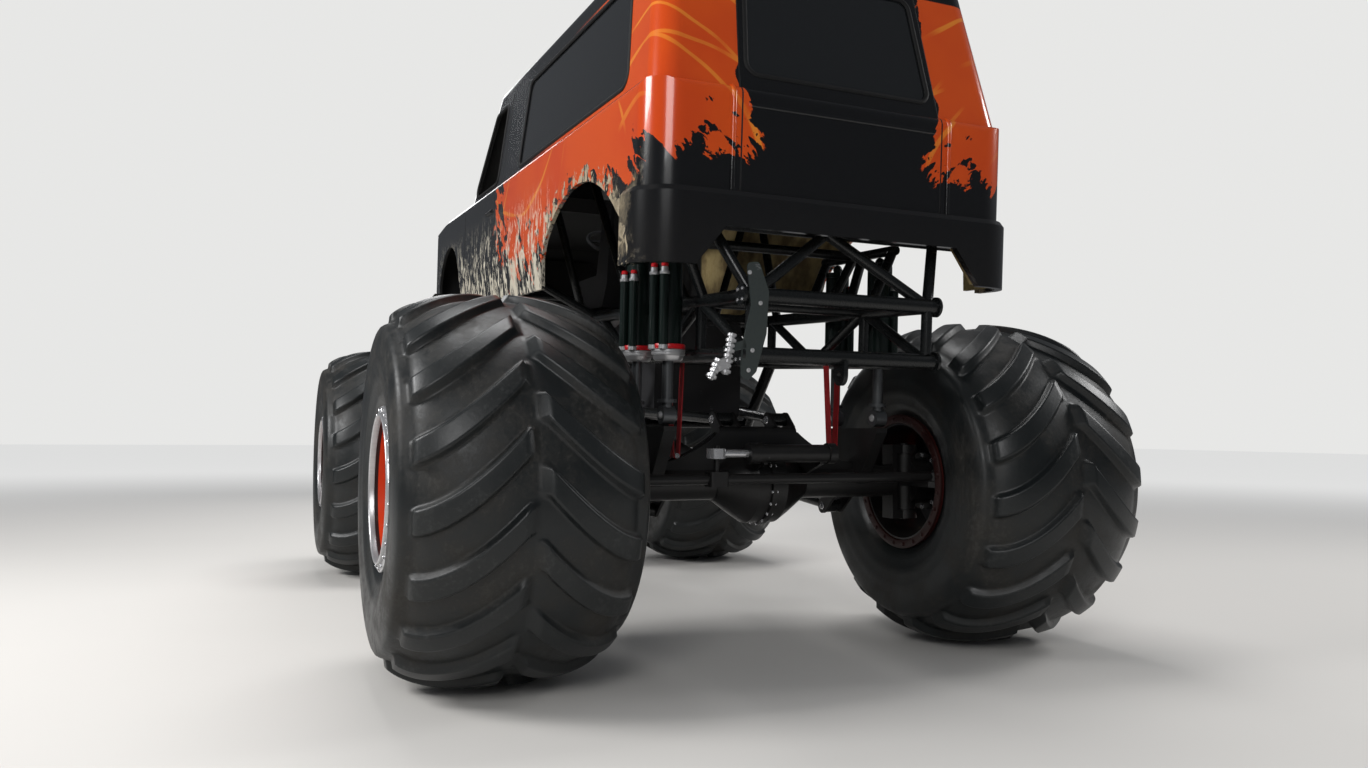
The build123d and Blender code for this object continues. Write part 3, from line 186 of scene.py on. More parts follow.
class Field:
    """A node's output. Sums, products and steps of it add nodes to its net."""

    def __init__(self, net, socket):
        self.net, self.socket = net, socket

    def __add__(self, other):
        return self.net.math("ADD", self, other)

    __radd__ = __add__

    def __sub__(self, other):
        return self.net.math("SUBTRACT", self, other)

    def __rsub__(self, other):
        return self.net.math("SUBTRACT", other, self)

    def __mul__(self, other):
        return self.net.math("MULTIPLY", self, other)

    __rmul__ = __mul__

    def __truediv__(self, other):
        return self.net.math("DIVIDE", self, other)

    def __pow__(self, other):
        return self.net.math("POWER", self, other)

    def __abs__(self):
        return self.net.math("ABSOLUTE", self)

    def top(self, other):
        """The larger of two."""
        return self.net.math("MAXIMUM", self, other)

    def least(self, other):
        """The smaller of two."""
        return self.net.math("MINIMUM", self, other)

    def step(self, low, high, to_low=0.0, to_high=1.0):
        """A smooth rise between two limits."""
        limits = (low, high, to_low, to_high)
        return self.net.fill("ShaderNodeMapRange", self, *limits, interpolation_type="SMOOTHSTEP")


class Net:
    """A node tree with short calls that add a node and give its output."""

    def __init__(self, tree):
        self.tree = tree

    def node(self, kind, **values):
        made = self.tree.nodes.new(kind)
        for name, value in values.items():
            setattr(made, name, value)
        return made

    def put(self, socket, value):
        """Link a field or a socket, or set a plain value."""
        value = getattr(value, "socket", value)
        if isinstance(value, bpy.types.NodeSocket):
            self.tree.links.new(value, socket)
        elif value is not None:
            if hasattr(socket.default_value, "__len__") and not hasattr(value, "__len__"):
                value = (value,) * len(socket.default_value)
            if hasattr(value, "__len__") and len(socket.default_value) == 4 and len(value) == 3:
                value = (*value, 1.0)
            socket.default_value = value

    def fill(self, kind, *inputs, **values):
        """A node with its first inputs filled, in order: its first output."""
        made = self.node(kind, **values)
        for socket, value in zip(made.inputs, inputs):
            self.put(socket, value)
        return Field(self, made.outputs[0])

    def pick(self, kind, output, inputs, **values):
        """A node with inputs filled by name or number: the output asked for."""
        made = self.node(kind, **values)
        for key, value in inputs.items():
            self.put(made.inputs[key], value)
        return Field(self, made.outputs[output])

    def math(self, operation, a, b=None):
        return self.fill("ShaderNodeMath", a, b, operation=operation)

    def vector(self, operation, a, b):
        return self.fill("ShaderNodeVectorMath", a, b, operation=operation)

    def measure(self, operation, a, b):
        """A number from two vectors."""
        return self.pick("ShaderNodeVectorMath", "Value", {0: a, 1: b}, operation=operation)

    def mix(self, factor, a, b):
        """A mix of two colours."""
        return self.pick("ShaderNodeMix", 2, {"Factor": factor, 6: a, 7: b}, data_type="RGBA")

    def blend(self, factor, a, b):
        """A mix of two numbers."""
        return self.pick("ShaderNodeMix", 0, {"Factor": factor, 2: a, 3: b}, data_type="FLOAT")

    def noise(self, vector, scale, detail=4.0, rough=0.55, distortion=0.0):
        inputs = {"Scale": scale, "Detail": detail, "Roughness": rough, "Distortion": distortion}
        return self.pick("ShaderNodeTexNoise", 0, {"Vector": vector, **inputs})

    def place(self):
        """Object coordinates."""
        return self.node("ShaderNodeTexCoord").outputs["Object"]

    def axes(self, vector):
        made = self.node("ShaderNodeSeparateXYZ")
        self.put(made.inputs[0], vector)
        return [Field(self, output) for output in made.outputs]

    def join(self, x, y, z):
        return self.fill("ShaderNodeCombineXYZ", x, y, z)

    def stretch(self, vector, scale):
        return self.pick("ShaderNodeMapping", 0, {"Vector": vector, "Scale": scale})

    def bump(self, height, strength, distance):
        return self.pick("ShaderNodeBump", 0, {"Height": height, "Strength": strength, "Distance": distance})

    def group(self, label, **values):
        """A shared effect with its values: its outputs by name."""
        made = self.node("ShaderNodeGroup", node_tree=bpy.data.node_groups[label])
        for name, value in values.items():
            self.put(made.inputs[name.replace("_", " ")], value)
        return {output.name: Field(self, output) for output in made.outputs}


def new_group(name, inputs, outputs):
    """A shader node group, from inputs and outputs as (name, socket kind, default)."""
    tree = bpy.data.node_groups.new(name, "ShaderNodeTree")
    for label, kind, default in inputs:
        socket = tree.interface.new_socket(name=label, in_out="INPUT", socket_type="NodeSocket" + kind)
        socket.default_value = default
    for label, kind in outputs:
        tree.interface.new_socket(name=label, in_out="OUTPUT", socket_type="NodeSocket" + kind)
    net = Net(tree)
    given = {output.name: Field(net, output) for output in net.node("NodeGroupInput").outputs}
    return net, given, net.node("NodeGroupOutput").inputs


def new_material(name):
    """A new material's net, and the inputs of its Principled BSDF."""
    material = bpy.data.materials.new(name)
    material.use_nodes = True
    return Net(material.node_tree), material.node_tree.nodes["Principled BSDF"].inputs


# Shared effects


def dust_group():
    """Dust and dried mud: heavier low down, on upward faces and in a cloudy pattern."""
    net, given, out = new_group(
        "Dust and mud",
        (
            ("Amount", "Float", 0.5), ("Low", "Float", 0.0), ("High", "Float", 2.0), ("Scale", "Float", 3.0),
            ("Mud", "Color", (0.36, 0.27, 0.17, 1.0)), ("Base", "Color", (0.5, 0.5, 0.5, 1.0)),
            ("Base Roughness", "Float", 0.4),
        ),
        (("Color", "Color"), ("Roughness", "Float"), ("Mask", "Float")),
    )
    place = net.place()
    height = net.axes(place)[2].step(given["Low"], given["High"], 1.0, 0.25)
    facing = net.axes(net.node("ShaderNodeNewGeometry").outputs["Normal"])[2].step(0.1, 0.9, 0.6, 1.1)
    heavy = height * facing * given["Amount"]
    fine = net.noise(place, 42.0, 4.0, 0.6)
    cloud = net.noise(place, given["Scale"], 6.0, 0.62) + (fine - 0.5) * 0.35
    edge = 1.0 - heavy
    mask = cloud.step(edge - 0.16, edge + 0.14).top(heavy * 0.12 * fine)
    tint = net.mix(fine * 0.6, given["Mud"], (0.2, 0.145, 0.09))
    net.put(out["Color"], net.mix(mask, given["Base"], tint))
    net.put(out["Roughness"], net.blend(mask, given["Base Roughness"], 0.92))
    net.put(out["Mask"], mask)


def wear_group():
    """Rubbed metal: small bright scuffs in a scattered pattern, stretched along one way."""
    net, given, out = new_group(
        "Scuffs",
        (
            ("Base", "Color", (0.03, 0.03, 0.03, 1.0)), ("Metal", "Color", (0.3, 0.3, 0.3, 1.0)),
            ("Amount", "Float", 0.3),
        ),
        (("Color", "Color"), ("Mask", "Float")),
    )
    place = net.place()
    fine = net.noise(net.stretch(place, (18.0, 18.0, 60.0)), 1.0, 5.0, 0.7)
    low = 0.5 - given["Amount"] * 0.25
    mask = (fine * net.noise(place, 6.0, 3.0, 0.5)).step(low, low + 0.06)
    net.put(out["Color"], net.mix(mask, given["Base"], given["Metal"]))
    net.put(out["Mask"], mask)


def dusted(net, bsdf, base, rough, amount, low, high, scale):
    """Lay dust over a base colour and roughness, join both to the shader, and give the dust's mask."""
    dusty = net.group(
        "Dust and mud", Amount=amount, Low=low, High=high, Scale=scale, Base=base, Base_Roughness=rough,
        Mud=tuple(bpy.context.scene.truck_paint.mud),
    )
    net.put(bsdf["Base Color"], dusty["Color"])
    net.put(bsdf["Roughness"], dusty["Roughness"])
    return dusty["Mask"]


# Materials


def painted_steel(name, base, rough, dust, scuff, low=0.3, high=2.4):
    """Satin paint on steel, scuffed and dusty."""
    net, bsdf = new_material(name)
    scuffs = net.group("Scuffs", Base=base, Metal=(0.16, 0.16, 0.165), Amount=scuff)
    grain = net.noise(net.place(), 260.0, 2.0, 0.5)
    mask = dusted(net, bsdf, scuffs["Color"], rough + (grain - 0.5) * 0.16, dust, low, high, 5.0)
    bsdf["Specular IOR Level"].default_value = 0.35
    net.put(bsdf["Normal"], net.bump(grain * 0.25 + mask * 0.6, 0.35, 0.0015))


def rubber_material(name):
    """Black rubber, tinted blue green for a painted sheen, with brown dust in the grooves and light grey
    patches here and there.
    """
    net, bsdf = new_material(name)
    lug = net.pick("ShaderNodeAttribute", "Fac", {}, attribute_name="lug")
    place = net.place()
    cloud = net.noise(place, 2.6, 6.0, 0.65)
    fine = net.noise(place, 55.0, 5.0, 0.65)
    # Both tones of the rubber lean blue green: a painted sheen on black rubber
    colour = net.mix(cloud, tuple(bpy.context.scene.truck_tyres.rubber), (0.0095, 0.0118, 0.0125))
    dusty = (cloud + fine * 0.3).step(0.55, 0.95) * (1.0 - lug * 0.85)
    colour = net.mix(dusty * 0.45, colour, (0.05, 0.037, 0.024))
    # Light grey patches here and there, over the tread and the sidewalls alike
    patches = (fine * cloud).step(0.27, 0.4)
    net.put(bsdf["Base Color"], net.mix(patches * 0.3, colour, (0.05, 0.052, 0.052)))
    net.put(bsdf["Roughness"], net.blend(dusty, net.blend(cloud, 0.32, 0.46), 0.85))
    bsdf["Specular IOR Level"].default_value = 0.4
    net.put(bsdf["Normal"], net.bump(fine, 0.35, 0.002))


def wheel_material(name, side):
    """Orange red outer barrel, black disc, hub and inner barrel, by the place across the wheel."""
    net, bsdf = new_material(name)
    place = net.place()
    x, y, z = net.axes(place)
    across = y * side - TRACK_Y
    radius = net.math("SQRT", (abs(x) - AXLE_X) ** 2.0 + (z - AXLE_Z) ** 2.0)
    orange = across.step(-0.126, -0.122) * radius.step(0.262, 0.27) * across.step(0.443, 0.440)
    inner_lip = across.step(-0.43, -0.44) * radius.step(0.315, 0.32)
    fine = net.noise(place, 30.0, 5.0, 0.6)
    colour = net.mix(orange, (0.008, 0.008, 0.009), (0.68, 0.05, 0.008))
    colour = net.mix(inner_lip * 0.85, colour, (0.05, 0.005, 0.004))
    mask = dusted(net, bsdf, colour, net.blend(fine, 0.2, 0.45), 0.34, 0.2, 1.4, 6.0)
    net.put(bsdf["Normal"], net.bump(fine + mask, 0.25, 0.0012))


def torn(net, x, side, zb, scale):
    """A torn edge's raggedness, about zero: broad tongues with splinters, drawn out down and backwards."""
    lean = zb * 0.75
    drawn = net.join(x - lean, side - lean, zb * 0.4)
    tongues = net.noise(drawn, scale, 2.0, 0.5, 0.8)
    rags = net.noise(drawn, scale * 3.4, 4.0, 0.6, 0.7)
    fine = net.noise(net.join(x, side, zb * 0.5), scale * 5.0, 3.0, 0.6, 0.5)
    return (tongues - 0.5) * 1.5 + (rags * 0.5 + fine * 0.22 - 0.36)


def cut(value):
    """A crisp edge where a value passes 0."""
    return value.step(-0.003, 0.003)


def scratches(net, place, scale, width):
    """Thin broken lines, mostly upright: where a stretched noise crosses its middle."""
    crossing = net.noise(net.stretch(place, (1.0, 1.0, 0.3)), scale, 3.0, 0.6, 0.4) - 0.5
    there = net.noise(place, scale * 0.6, 3.0, 0.6).step(0.42, 0.5)
    return abs(crossing).step(width * 0.4, width, 1.0, 0.0) * there


# Centres and radii of the amber arcs on both quarters
ARCS = (
    ((-2.5, 1.15, 1.95), 0.55), ((-2.5, 1.15, 1.95), 0.80), ((-2.5, 1.20, 1.85), 1.05),
    ((-2.5, 1.25, 1.80), 1.32), ((-1.2, 0.90, 1.60), 1.35), ((-2.6, 0.90, 1.70), 1.00),
    ((-0.6, 0.90, 3.40), 1.10),
)


def brushed_arcs(net, place, half_width):
    """Brushed arcs, broken here and there: |d + n - r| is small, n being noise and d a centre's distance."""
    x, y, z = net.axes(place)
    folded = net.join(x, abs(y), z)
    stir = (net.noise(place, 1.8, 1.0, 0.5) - 0.5) * 0.12
    near = 10.0
    for centre, radius in ARCS:
        near = abs(net.measure("DISTANCE", folded, centre) + stir - radius).least(near)
    wide = net.noise(place, 3.0, 2.0, 0.5) * (half_width * 2)
    there = net.noise(net.vector("ADD", place, (4.0, 1.0, 7.0)), 2.2, 2.0, 0.5).step(0.42, 0.54)
    return near.step(wide * 0.55, wide, 1.0, 0.0) * there


def inside_mask(net):
    """1 on faces that look inwards, to the middle of the body."""
    geometry = net.node("ShaderNodeNewGeometry").outputs
    outward = net.vector("SUBTRACT", geometry["Position"], (-0.2, 0.0, 2.35))
    flat = net.vector("MULTIPLY", outward, (0.12, 1.0, 1.0))
    return net.measure("DOT_PRODUCT", flat, geometry["Normal"]).step(-0.02, -0.12)


# The orange's lower edge at the tail, behind the rear arch and ahead of it, and its fore edge
TEAR_Z = (2.375, 2.240, 2.100)
TEAR_X = -0.060


def orange_mask(net, place, x, side, zb):
    """Where the body is orange: torn below, ahead and beside the black hatch, never on the roof."""
    ragged = torn(net, x, side, zb, 6.5)
    tail = x.step(-2.18, -2.22)
    ahead = x.step(-1.35, -1.0)
    low_at = net.blend(ahead, net.blend(x.step(-2.48, -2.25), TEAR_Z[0], TEAR_Z[1]), TEAR_Z[2])
    low_at = low_at - tail * side.step(0.54, 0.46) * 0.07
    low_edge = cut(zb - low_at + ragged * net.blend(ahead, 0.46, 0.85))
    # Torn at the door below the belt, faded ahead of the quarter glass above it
    over_belt = zb - BELT_Z
    fade = x + over_belt * 1.1 + net.noise(place, 3.0, 5.0, 0.6) * 0.7
    above = zb.step(BELT_Z - 0.005, BELT_Z + 0.005)
    fore_edge = net.blend(above, cut(TEAR_X - (x + ragged * 0.8)), fade.step(-0.95, -0.2, 1.0, 0.0))
    # The hatch's seam is the edge above the belt, and tongues sprawl over it below
    reach = over_belt.step(0.17, -0.16)
    hatch_half = HATCH_HW + 0.004 - over_belt.top(0.0) * 0.068 - reach * 0.05
    sprawl = ragged * (reach * 0.45) + abs(ragged) * (zb.step(3.0, 3.12) * 0.3)
    wrap = (1.0 - tail).top(cut(side - (hatch_half + sprawl)))
    below_roof = 1.0 - zb.step(ROOF_Z - 0.125, ROOF_Z - 0.12)
    return low_edge * fore_edge * (wrap * (side.step(0.60, 0.66).top(tail) * below_roof))


def livery_material(name, lined):
    """The body's orange over black with torn edges, amber strokes, cream scratches and mud.

    Heights are taken square to the raked body: z less the rake's rise at x. A lined shell shows bare
    fibreglass on its inner faces behind the dash.
    """
    paint = bpy.context.scene.truck_paint
    net, bsdf = new_material(name)
    place = net.place()
    x, y, z = net.axes(place)
    zb = z - x * math.tan(RAKE)
    side = abs(y)
    # Amber strokes and darker blooms in the orange
    warm = net.mix(brushed_arcs(net, place, 0.012) * 0.75, tuple(paint.orange), tuple(paint.amber))
    warm = net.mix(net.noise(place, 1.7, 3.0, 0.5).step(0.45, 0.75) * 0.5, warm, (0.46, 0.035, 0.006))
    colour = net.mix(orange_mask(net, place, x, side, zb), tuple(paint.black), warm)
    # Black and tan scuffs round the rear arch
    splash = net.noise(net.stretch(place, (1.0, 1.0, 0.4)), 8.0, 6.0, 0.72, 0.8)
    off = ((x + ARCH_X) / ARCH_HALF) ** 2.0 + ((zb - ROCKER_Z) / ARCH_RISE) ** 2.0
    rim = net.math("SQRT", off).step(1.3, 1.02) * (side.step(0.80, 0.86) * x.step(-1.05, -1.15))
    patches = net.noise(net.vector("ADD", place, (2.0, 6.0, 4.0)), 15.0, 5.0, 0.65, 0.9)
    worn = (patches + rim * 0.17).step(0.64, 0.69) * rim.step(0.02, 0.2)
    colour = net.mix(worn, colour, net.mix(splash.step(0.42, 0.5), (0.02, 0.02, 0.018), (0.42, 0.35, 0.24)))
    # Cream scratches from the arch to the fender, dense low down
    zone = x.step(-1.4, -1.0) * x.step(2.25, 1.7) * (zb.step(2.5, 2.15) * side.step(0.7, 0.75))
    lines = scratches(net, place, 7.0, 0.022)
    lines = lines.top(scratches(net, net.vector("ADD", place, (5.0, 2.0, 3.0)), 13.0, 0.03))
    cream = lines.top((splash + zb.step(2.25, 1.9) * 0.14).step(0.62, 0.7)) * zone
    colour = net.mix(cream, colour, net.mix(splash, (0.66, 0.62, 0.52), (0.32, 0.28, 0.21)))
    # Tan mud behind the arch
    mud_zone = x.step(-2.08, -2.2) * side.step(0.77, 0.85) * (zb.step(2.42, 2.12) * x.step(-2.60, -2.40))
    smear = net.noise(net.stretch(place, (1.0, 1.0, 0.8)), 4.5, 7.0, 0.68, 0.3)
    speck = net.noise(place, 30.0, 5.0, 0.7)
    mud = (smear + mud_zone * 0.17 + speck * 0.2).step(0.70, 0.92) * mud_zone.step(0.0, 0.3)
    colour = net.mix(mud, colour, net.mix(speck.step(0.35, 0.65), (0.075, 0.06, 0.04), (0.19, 0.155, 0.1)))
    # Bare resin inside, stained brown
    inside = inside_mask(net) if lined else 0.0
    resin = net.noise(place, 38.0, 6.0, 0.75)
    fibre = net.mix(resin, (0.26, 0.18, 0.07), (0.46, 0.37, 0.18))
    fibre = net.mix(net.noise(place, 3.6, 5.0, 0.6).step(0.42, 0.62) * 0.75, fibre, (0.085, 0.05, 0.022))
    bare = x.step(0.8, 0.75) * zb.step(2.62, 2.58)
    colour = net.mix(inside, colour, net.mix(bare, (0.008, 0.008, 0.008), fibre))
    dirty = cream.top(mud)
    rough = net.blend(dirty, net.blend(inside, 0.2, 0.7), 0.8)
    dull = dusted(net, bsdf, colour, rough, 0.3, 1.75, 2.2, 3.2).top(inside).top(dirty)
    net.put(bsdf["Coat Weight"], (1.0 - dull) * 0.4)
    bsdf["Coat Roughness"].default_value = 0.05
    bsdf["Specular IOR Level"].default_value = 0.3
    relief = net.noise(place, 2.2, 2.0, 0.4) * 2.0 + resin * (inside * 2.0)
    net.put(bsdf["Normal"], net.bump(relief + dull, 0.12, 0.003))


def glass_material(name):
    """Dark gloss glass with a film of dust."""
    net, bsdf = new_material(name)
    dusted(net, bsdf, (0.008, 0.009, 0.01), 0.06, 0.02, 2.4, 3.0, 3.0)
    bsdf["Coat Weight"].default_value = 0.4


def bright_metal(name, base, rough, dust=0.22):
    """Turned or plated metal with fine rings and a little dust."""
    net, bsdf = new_material(name)
    rings = net.noise(net.stretch(net.place(), (3.0, 3.0, 160.0)), 1.0, 2.0, 0.5)
    colour = net.mix(rings, base, tuple(c * 0.8 for c in base))
    mask = dusted(net, bsdf, colour, net.blend(rings, rough, rough + 0.12), dust, 0.4, 2.2, 9.0)
    net.put(bsdf["Metallic"], (1.0 - mask) * 0.75)


def grained(name, base, scale):
    """Grained vinyl, webbing or rubber."""
    net, bsdf = new_material(name)
    place = net.place()
    grain = net.noise(place, scale, 5.0, 0.7)
    net.put(bsdf["Base Color"], net.mix(net.noise(place, 5.0, 3.0, 0.5), base, tuple(c * 1.7 for c in base)))
    net.put(bsdf["Roughness"], net.blend(grain, 0.55, 0.8))
    bsdf["Specular IOR Level"].default_value = 0.3
    net.put(bsdf["Normal"], net.bump(grain, 0.4, 0.001))


def lens_material(name):
    """A pressed glass lens: upright flutes over a bright reflector."""
    net, bsdf = new_material(name)
    place = net.place()
    flutes = net.math("SINE", net.axes(place)[1] * 420.0)
    speckle = net.noise(place, 60.0, 3.0, 0.5)
    net.put(bsdf["Base Color"], net.mix(speckle, (0.55, 0.56, 0.54), (0.7, 0.7, 0.68)))
    net.put(bsdf["Roughness"], net.blend(speckle, 0.08, 0.2))
    bsdf["Metallic"].default_value = 0.35
    bsdf["Coat Weight"].default_value = 0.8
    net.put(bsdf["Normal"], net.bump(flutes, 0.5, 0.002))


# Each finish's name, maker and values, and the frame's nodes that have it
FINISHES = (
    ("Livery", livery_material, (True,),
     "quarter_panels doors front_fenders roof_panel hood front_panel tailgate"),
    ("Livery trim", livery_material, (False,), "rear_bumper front_bumper"),
    ("Dusty rubber", rubber_material, (), "tyre_fl tyre_fr tyre_rl tyre_rr"),
    ("Wheel paint left", wheel_material, (1.0,), "wheel_fl wheel_rl"),
    ("Wheel paint right", wheel_material, (-1.0,), "wheel_fr wheel_rr"),
    ("Frame black", painted_steel, ((0.005, 0.006, 0.0065), 0.27, 0.12, 0.1),
     "frame_rails frame_braces frame_end_hoops shock_towers roll_cage frame_brackets suspension_links"),
    ("Axle black", painted_steel, ((0.007, 0.007, 0.0075), 0.36, 0.2, 0.2, 0.3, 1.5),
     "front_axle rear_axle knuckle_fl knuckle_fr knuckle_rl knuckle_rr tie_rod_front tie_rod_rear"
     " steering_rams drive_shafts transfer_case"),
    ("Shock green black", painted_steel, ((0.005, 0.0105, 0.009), 0.22, 0.12, 0.1), "shock_bodies"),
    ("Anodised red", painted_steel, ((0.46, 0.008, 0.012), 0.28, 0.14, 0.1), ""),
    ("Dull red", painted_steel, ((0.016, 0.0025, 0.0022), 0.45, 0.15, 0.15), ""),
    ("Plate grey", painted_steel, ((0.032, 0.039, 0.038), 0.3, 0.15, 0.4), ""),
    ("Nitrided rod", bright_metal, ((0.10, 0.105, 0.11), 0.25, 0.06), "shock_rods"),
    ("Engine iron", painted_steel, ((0.02, 0.02, 0.022), 0.45, 0.2, 0.3), "engine_block"),
    ("Floor alloy", painted_steel, ((0.03, 0.03, 0.032), 0.4, 0.3, 0.2), "cabin_floor"),
    ("Chrome rod", bright_metal, ((0.62, 0.62, 0.64), 0.12), "ram_rod_front ram_rod_rear"),
    ("Turned alloy", bright_metal, ((0.55, 0.55, 0.56), 0.28), ""),
    ("Dark glass", glass_material, (), "window_panes"),
    ("Grained vinyl", grained, ((0.02, 0.02, 0.022), 140.0), "driver_seat steering_wheel"),
    ("Red webbing", grained, ((0.2, 0.006, 0.008), 420.0), ""),
    ("Rubber seal", grained, ((0.003, 0.003, 0.0032), 90.0), ""),
    ("Fluted lens", lens_material, (), "headlamps"),
)


# Mesh helpers

SHARP_ANGLE = math.radians(38)


def basis(axis):
    """An axis and two directions square to it, right-handed."""
    along = np.asarray(axis, float) / np.linalg.norm(axis)
    seed = np.array([0.0, 0.0, 1.0]) if abs(along[2]) < 0.9 else np.array([1.0, 0.0, 0.0])
    across = np.cross(seed, along)
    across /= np.linalg.norm(across)
    return along, across, np.cross(along, across)


def raked(points):
    """Points of the level frame and body, turned nose up about Y at z = RAKE_Z."""
    points = np.asarray(points, float)
    x, z = points[..., 0], points[..., 2] - RAKE_Z
    c, s = math.cos(RAKE), math.sin(RAKE)
    return np.stack([x * c - z * s, points[..., 1], RAKE_Z + x * s + z * c], axis=-1)


def raked_ways(ways):
    """Directions of the level frame and body, turned likewise."""
    return raked(ways) - raked(np.zeros(3))


def unit(vectors):
    return vectors / np.linalg.norm(vectors, axis=-1, keepdims=True)


def flat_section(w, h):
    """A rectangle's corners, from -w to w across and from -h to h out."""
    return ((-w, -h), (w, -h), (w, h), (-w, h))


class Batch:
    """Vertices and faces gathered from many swept shapes, for one mesh."""

    def __init__(self):
        self.vertices, self.faces, self.count = [], [], 0

    def grid(self, points, ahead=False):
        """Rings of points, shape (rings, ring, 3), joined round and along, and capped unless closed ahead."""
        rings, size = points.shape[:2]
        index = self.count + np.arange(rings * size).reshape(rings, size)
        full = np.pad(index, ((0, int(ahead)), (0, 1)), "wrap")
        quads = np.stack([full[:-1, :-1], full[:-1, 1:], full[1:, 1:], full[1:, :-1]], axis=-1)
        self.faces += quads.reshape(-1, 4).tolist()
        if not ahead:
            self.faces += [index[0, ::-1].tolist(), index[-1].tolist()]
        self.vertices.append(points.reshape(-1, 3))
        self.count += rings * size

    def turned(self, profile, place, axis, steps=32, ahead=False):
        """A profile of (distance along, radius) turned about an axis: p + a t + r (b cos u + c sin u)."""
        along, across, third = basis(axis)
        angle = 2 * math.pi * np.arange(steps) / steps
        spoke = np.cos(angle)[:, None] * across + np.sin(angle)[:, None] * third
        out = np.asarray(profile, float)[:, :, None, None]
        self.grid(np.asarray(place, float) + out[:, 0] * along + out[:, 1] * spoke, ahead)

    def swept(self, path, normals, section, closed=False):
        """A section of (across, out) carried along a path, out being the normal there."""
        path = np.asarray(path, float)
        ahead = np.roll(path, -1, 0) - np.roll(path, 1, 0) if closed else np.gradient(path, axis=0)
        tangent = unit(ahead)
        normals = np.broadcast_to(np.asarray(normals, float), path.shape)
        out = unit(normals - (normals * tangent).sum(1)[:, None] * tangent)
        across = np.cross(out, tangent)
        section = np.asarray(section, float)
        points = path[:, None] + section[:, 0, None] * across[:, None] + section[:, 1, None] * out[:, None]
        self.grid(points, closed)

    def slab(self, outline, normal, thickness):
        """A flat outline given a thickness along its normal."""
        after = np.roll(outline, -1, 0)
        if np.cross(outline - outline[0], after - outline[0]).sum(0) @ normal < 0:
            outline = outline[::-1]
        half = np.asarray(normal, float) * thickness / 2
        self.grid(np.stack([outline - half, outline + half]))

    def bolt(self, place, axis, r=0.009, height=0.009):
        """A hexagon head on a washer."""
        self.turned([(-0.003, r * 1.4), (0.002, r * 1.4), (0.0026, r * 1.3)], place, axis, 16)
        self.turned([(0.0, r), (height * 0.85, r), (height, r * 0.86)], place, axis, 6)

    def bolt_circle(self, place, axis, r, count, size):
        along, across, third = basis(axis)
        for i in range(count):
            angle = 2 * math.pi * (i + 0.5) / count
            spot = np.asarray(place, float) + r * (math.cos(angle) * across + math.sin(angle) * third)
            self.bolt(spot, along, size, size)

    def bolt_pair(self, place, half, r, height):
        """A bolt at each end of a pin along Y."""
        for way in (1, -1):
            self.bolt(place + np.array([0, way * half, 0]), (0, way, 0), r, height)

    def piece(self, name, body, slot, finish):
        """Put all the shapes in the scene as one piece."""
        mesh = bpy.data.meshes.new(name)
        mesh.from_pydata(np.concatenate(self.vertices).tolist(), [], self.faces)
        mesh.polygons.foreach_set("use_smooth", np.ones(len(mesh.polygons), dtype=bool))
        mesh.set_sharp_from_angle(angle=SHARP_ANGLE)
        mesh.validate()
        mesh.update()
        add_piece(name, mesh, body, finish)


def ring_mesh(name, points, lug):
    """A mesh of quads over a grid of points, shape (u, v, 3), joined round both ways."""
    nu, nv = points.shape[:2]
    full = np.pad(np.arange(nu * nv).reshape(nu, nv), (0, 1), "wrap")
    quads = np.stack([full[:-1, :-1], full[1:, :-1], full[1:, 1:], full[:-1, 1:]], axis=-1).reshape(-1, 4)
    return quad_mesh(name, points.reshape(-1, 3), quads, lug)


def quad_mesh(name, vertices, quads, lug=None):
    """A mesh from whole arrays of vertices and quads, with each vertex's share of a lug."""
    mesh = bpy.data.meshes.new(name)
    mesh.vertices.add(len(vertices))
    mesh.vertices.foreach_set("co", np.ascontiguousarray(vertices, dtype=np.float32).ravel())
    mesh.loops.add(quads.size)
    mesh.loops.foreach_set("vertex_index", quads.astype(np.int32).ravel())
    mesh.polygons.add(len(quads))
    mesh.polygons.foreach_set("loop_start", np.arange(0, quads.size, 4, dtype=np.int32))
    mesh.polygons.foreach_set("use_smooth", np.ones(len(quads), dtype=bool))
    if lug is not None:
        layer = mesh.attributes.new("lug", "FLOAT", "POINT")
        layer.data.foreach_set("value", lug.astype(np.float32).ravel())
    mesh.update(calc_edges=True)
    mesh.validate()
    return mesh


def add_piece(name, mesh, body, finish):
    """Put a mesh in the scene as a piece that rides on a body."""
    piece = bpy.data.objects.new(name, mesh)
    bpy.context.scene.collection.objects.link(piece)
    mesh.materials.append(bpy.data.materials[finish])
    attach(piece, body)
    return piece


# Tyres

SECTION_HALF_W = TYRE_HALF_W - 0.004
WIDEST_R = TYRE_R * 0.70
WALL_H = 0.404
SECTION_POWER = 2.5
BEAD_ANGLE = 123.4
BEAD_TUCK_R = 0.338
SIDEWALL_RIBS = ((0.392, 0.011, 0.007), (0.462, 0.005, 0.004), (0.545, 0.005, 0.0035))
LUG_WIDTH = 0.40
LUG_EDGE = 0.07
LUG_TRAIL = 1.1
LUG_FROM = 0.06
LUG_SPAN = 0.88
LUG_OUTER_R = TYRE_R * 0.845
TREAD_EDGE_R = TYRE_R * 0.80


def eased(t):
    """3 t^2 - 2 t^3, t being held between 0 and 1."""
    t = np.clip(t, 0, 1)
    return t * t * (3 - 2 * t)


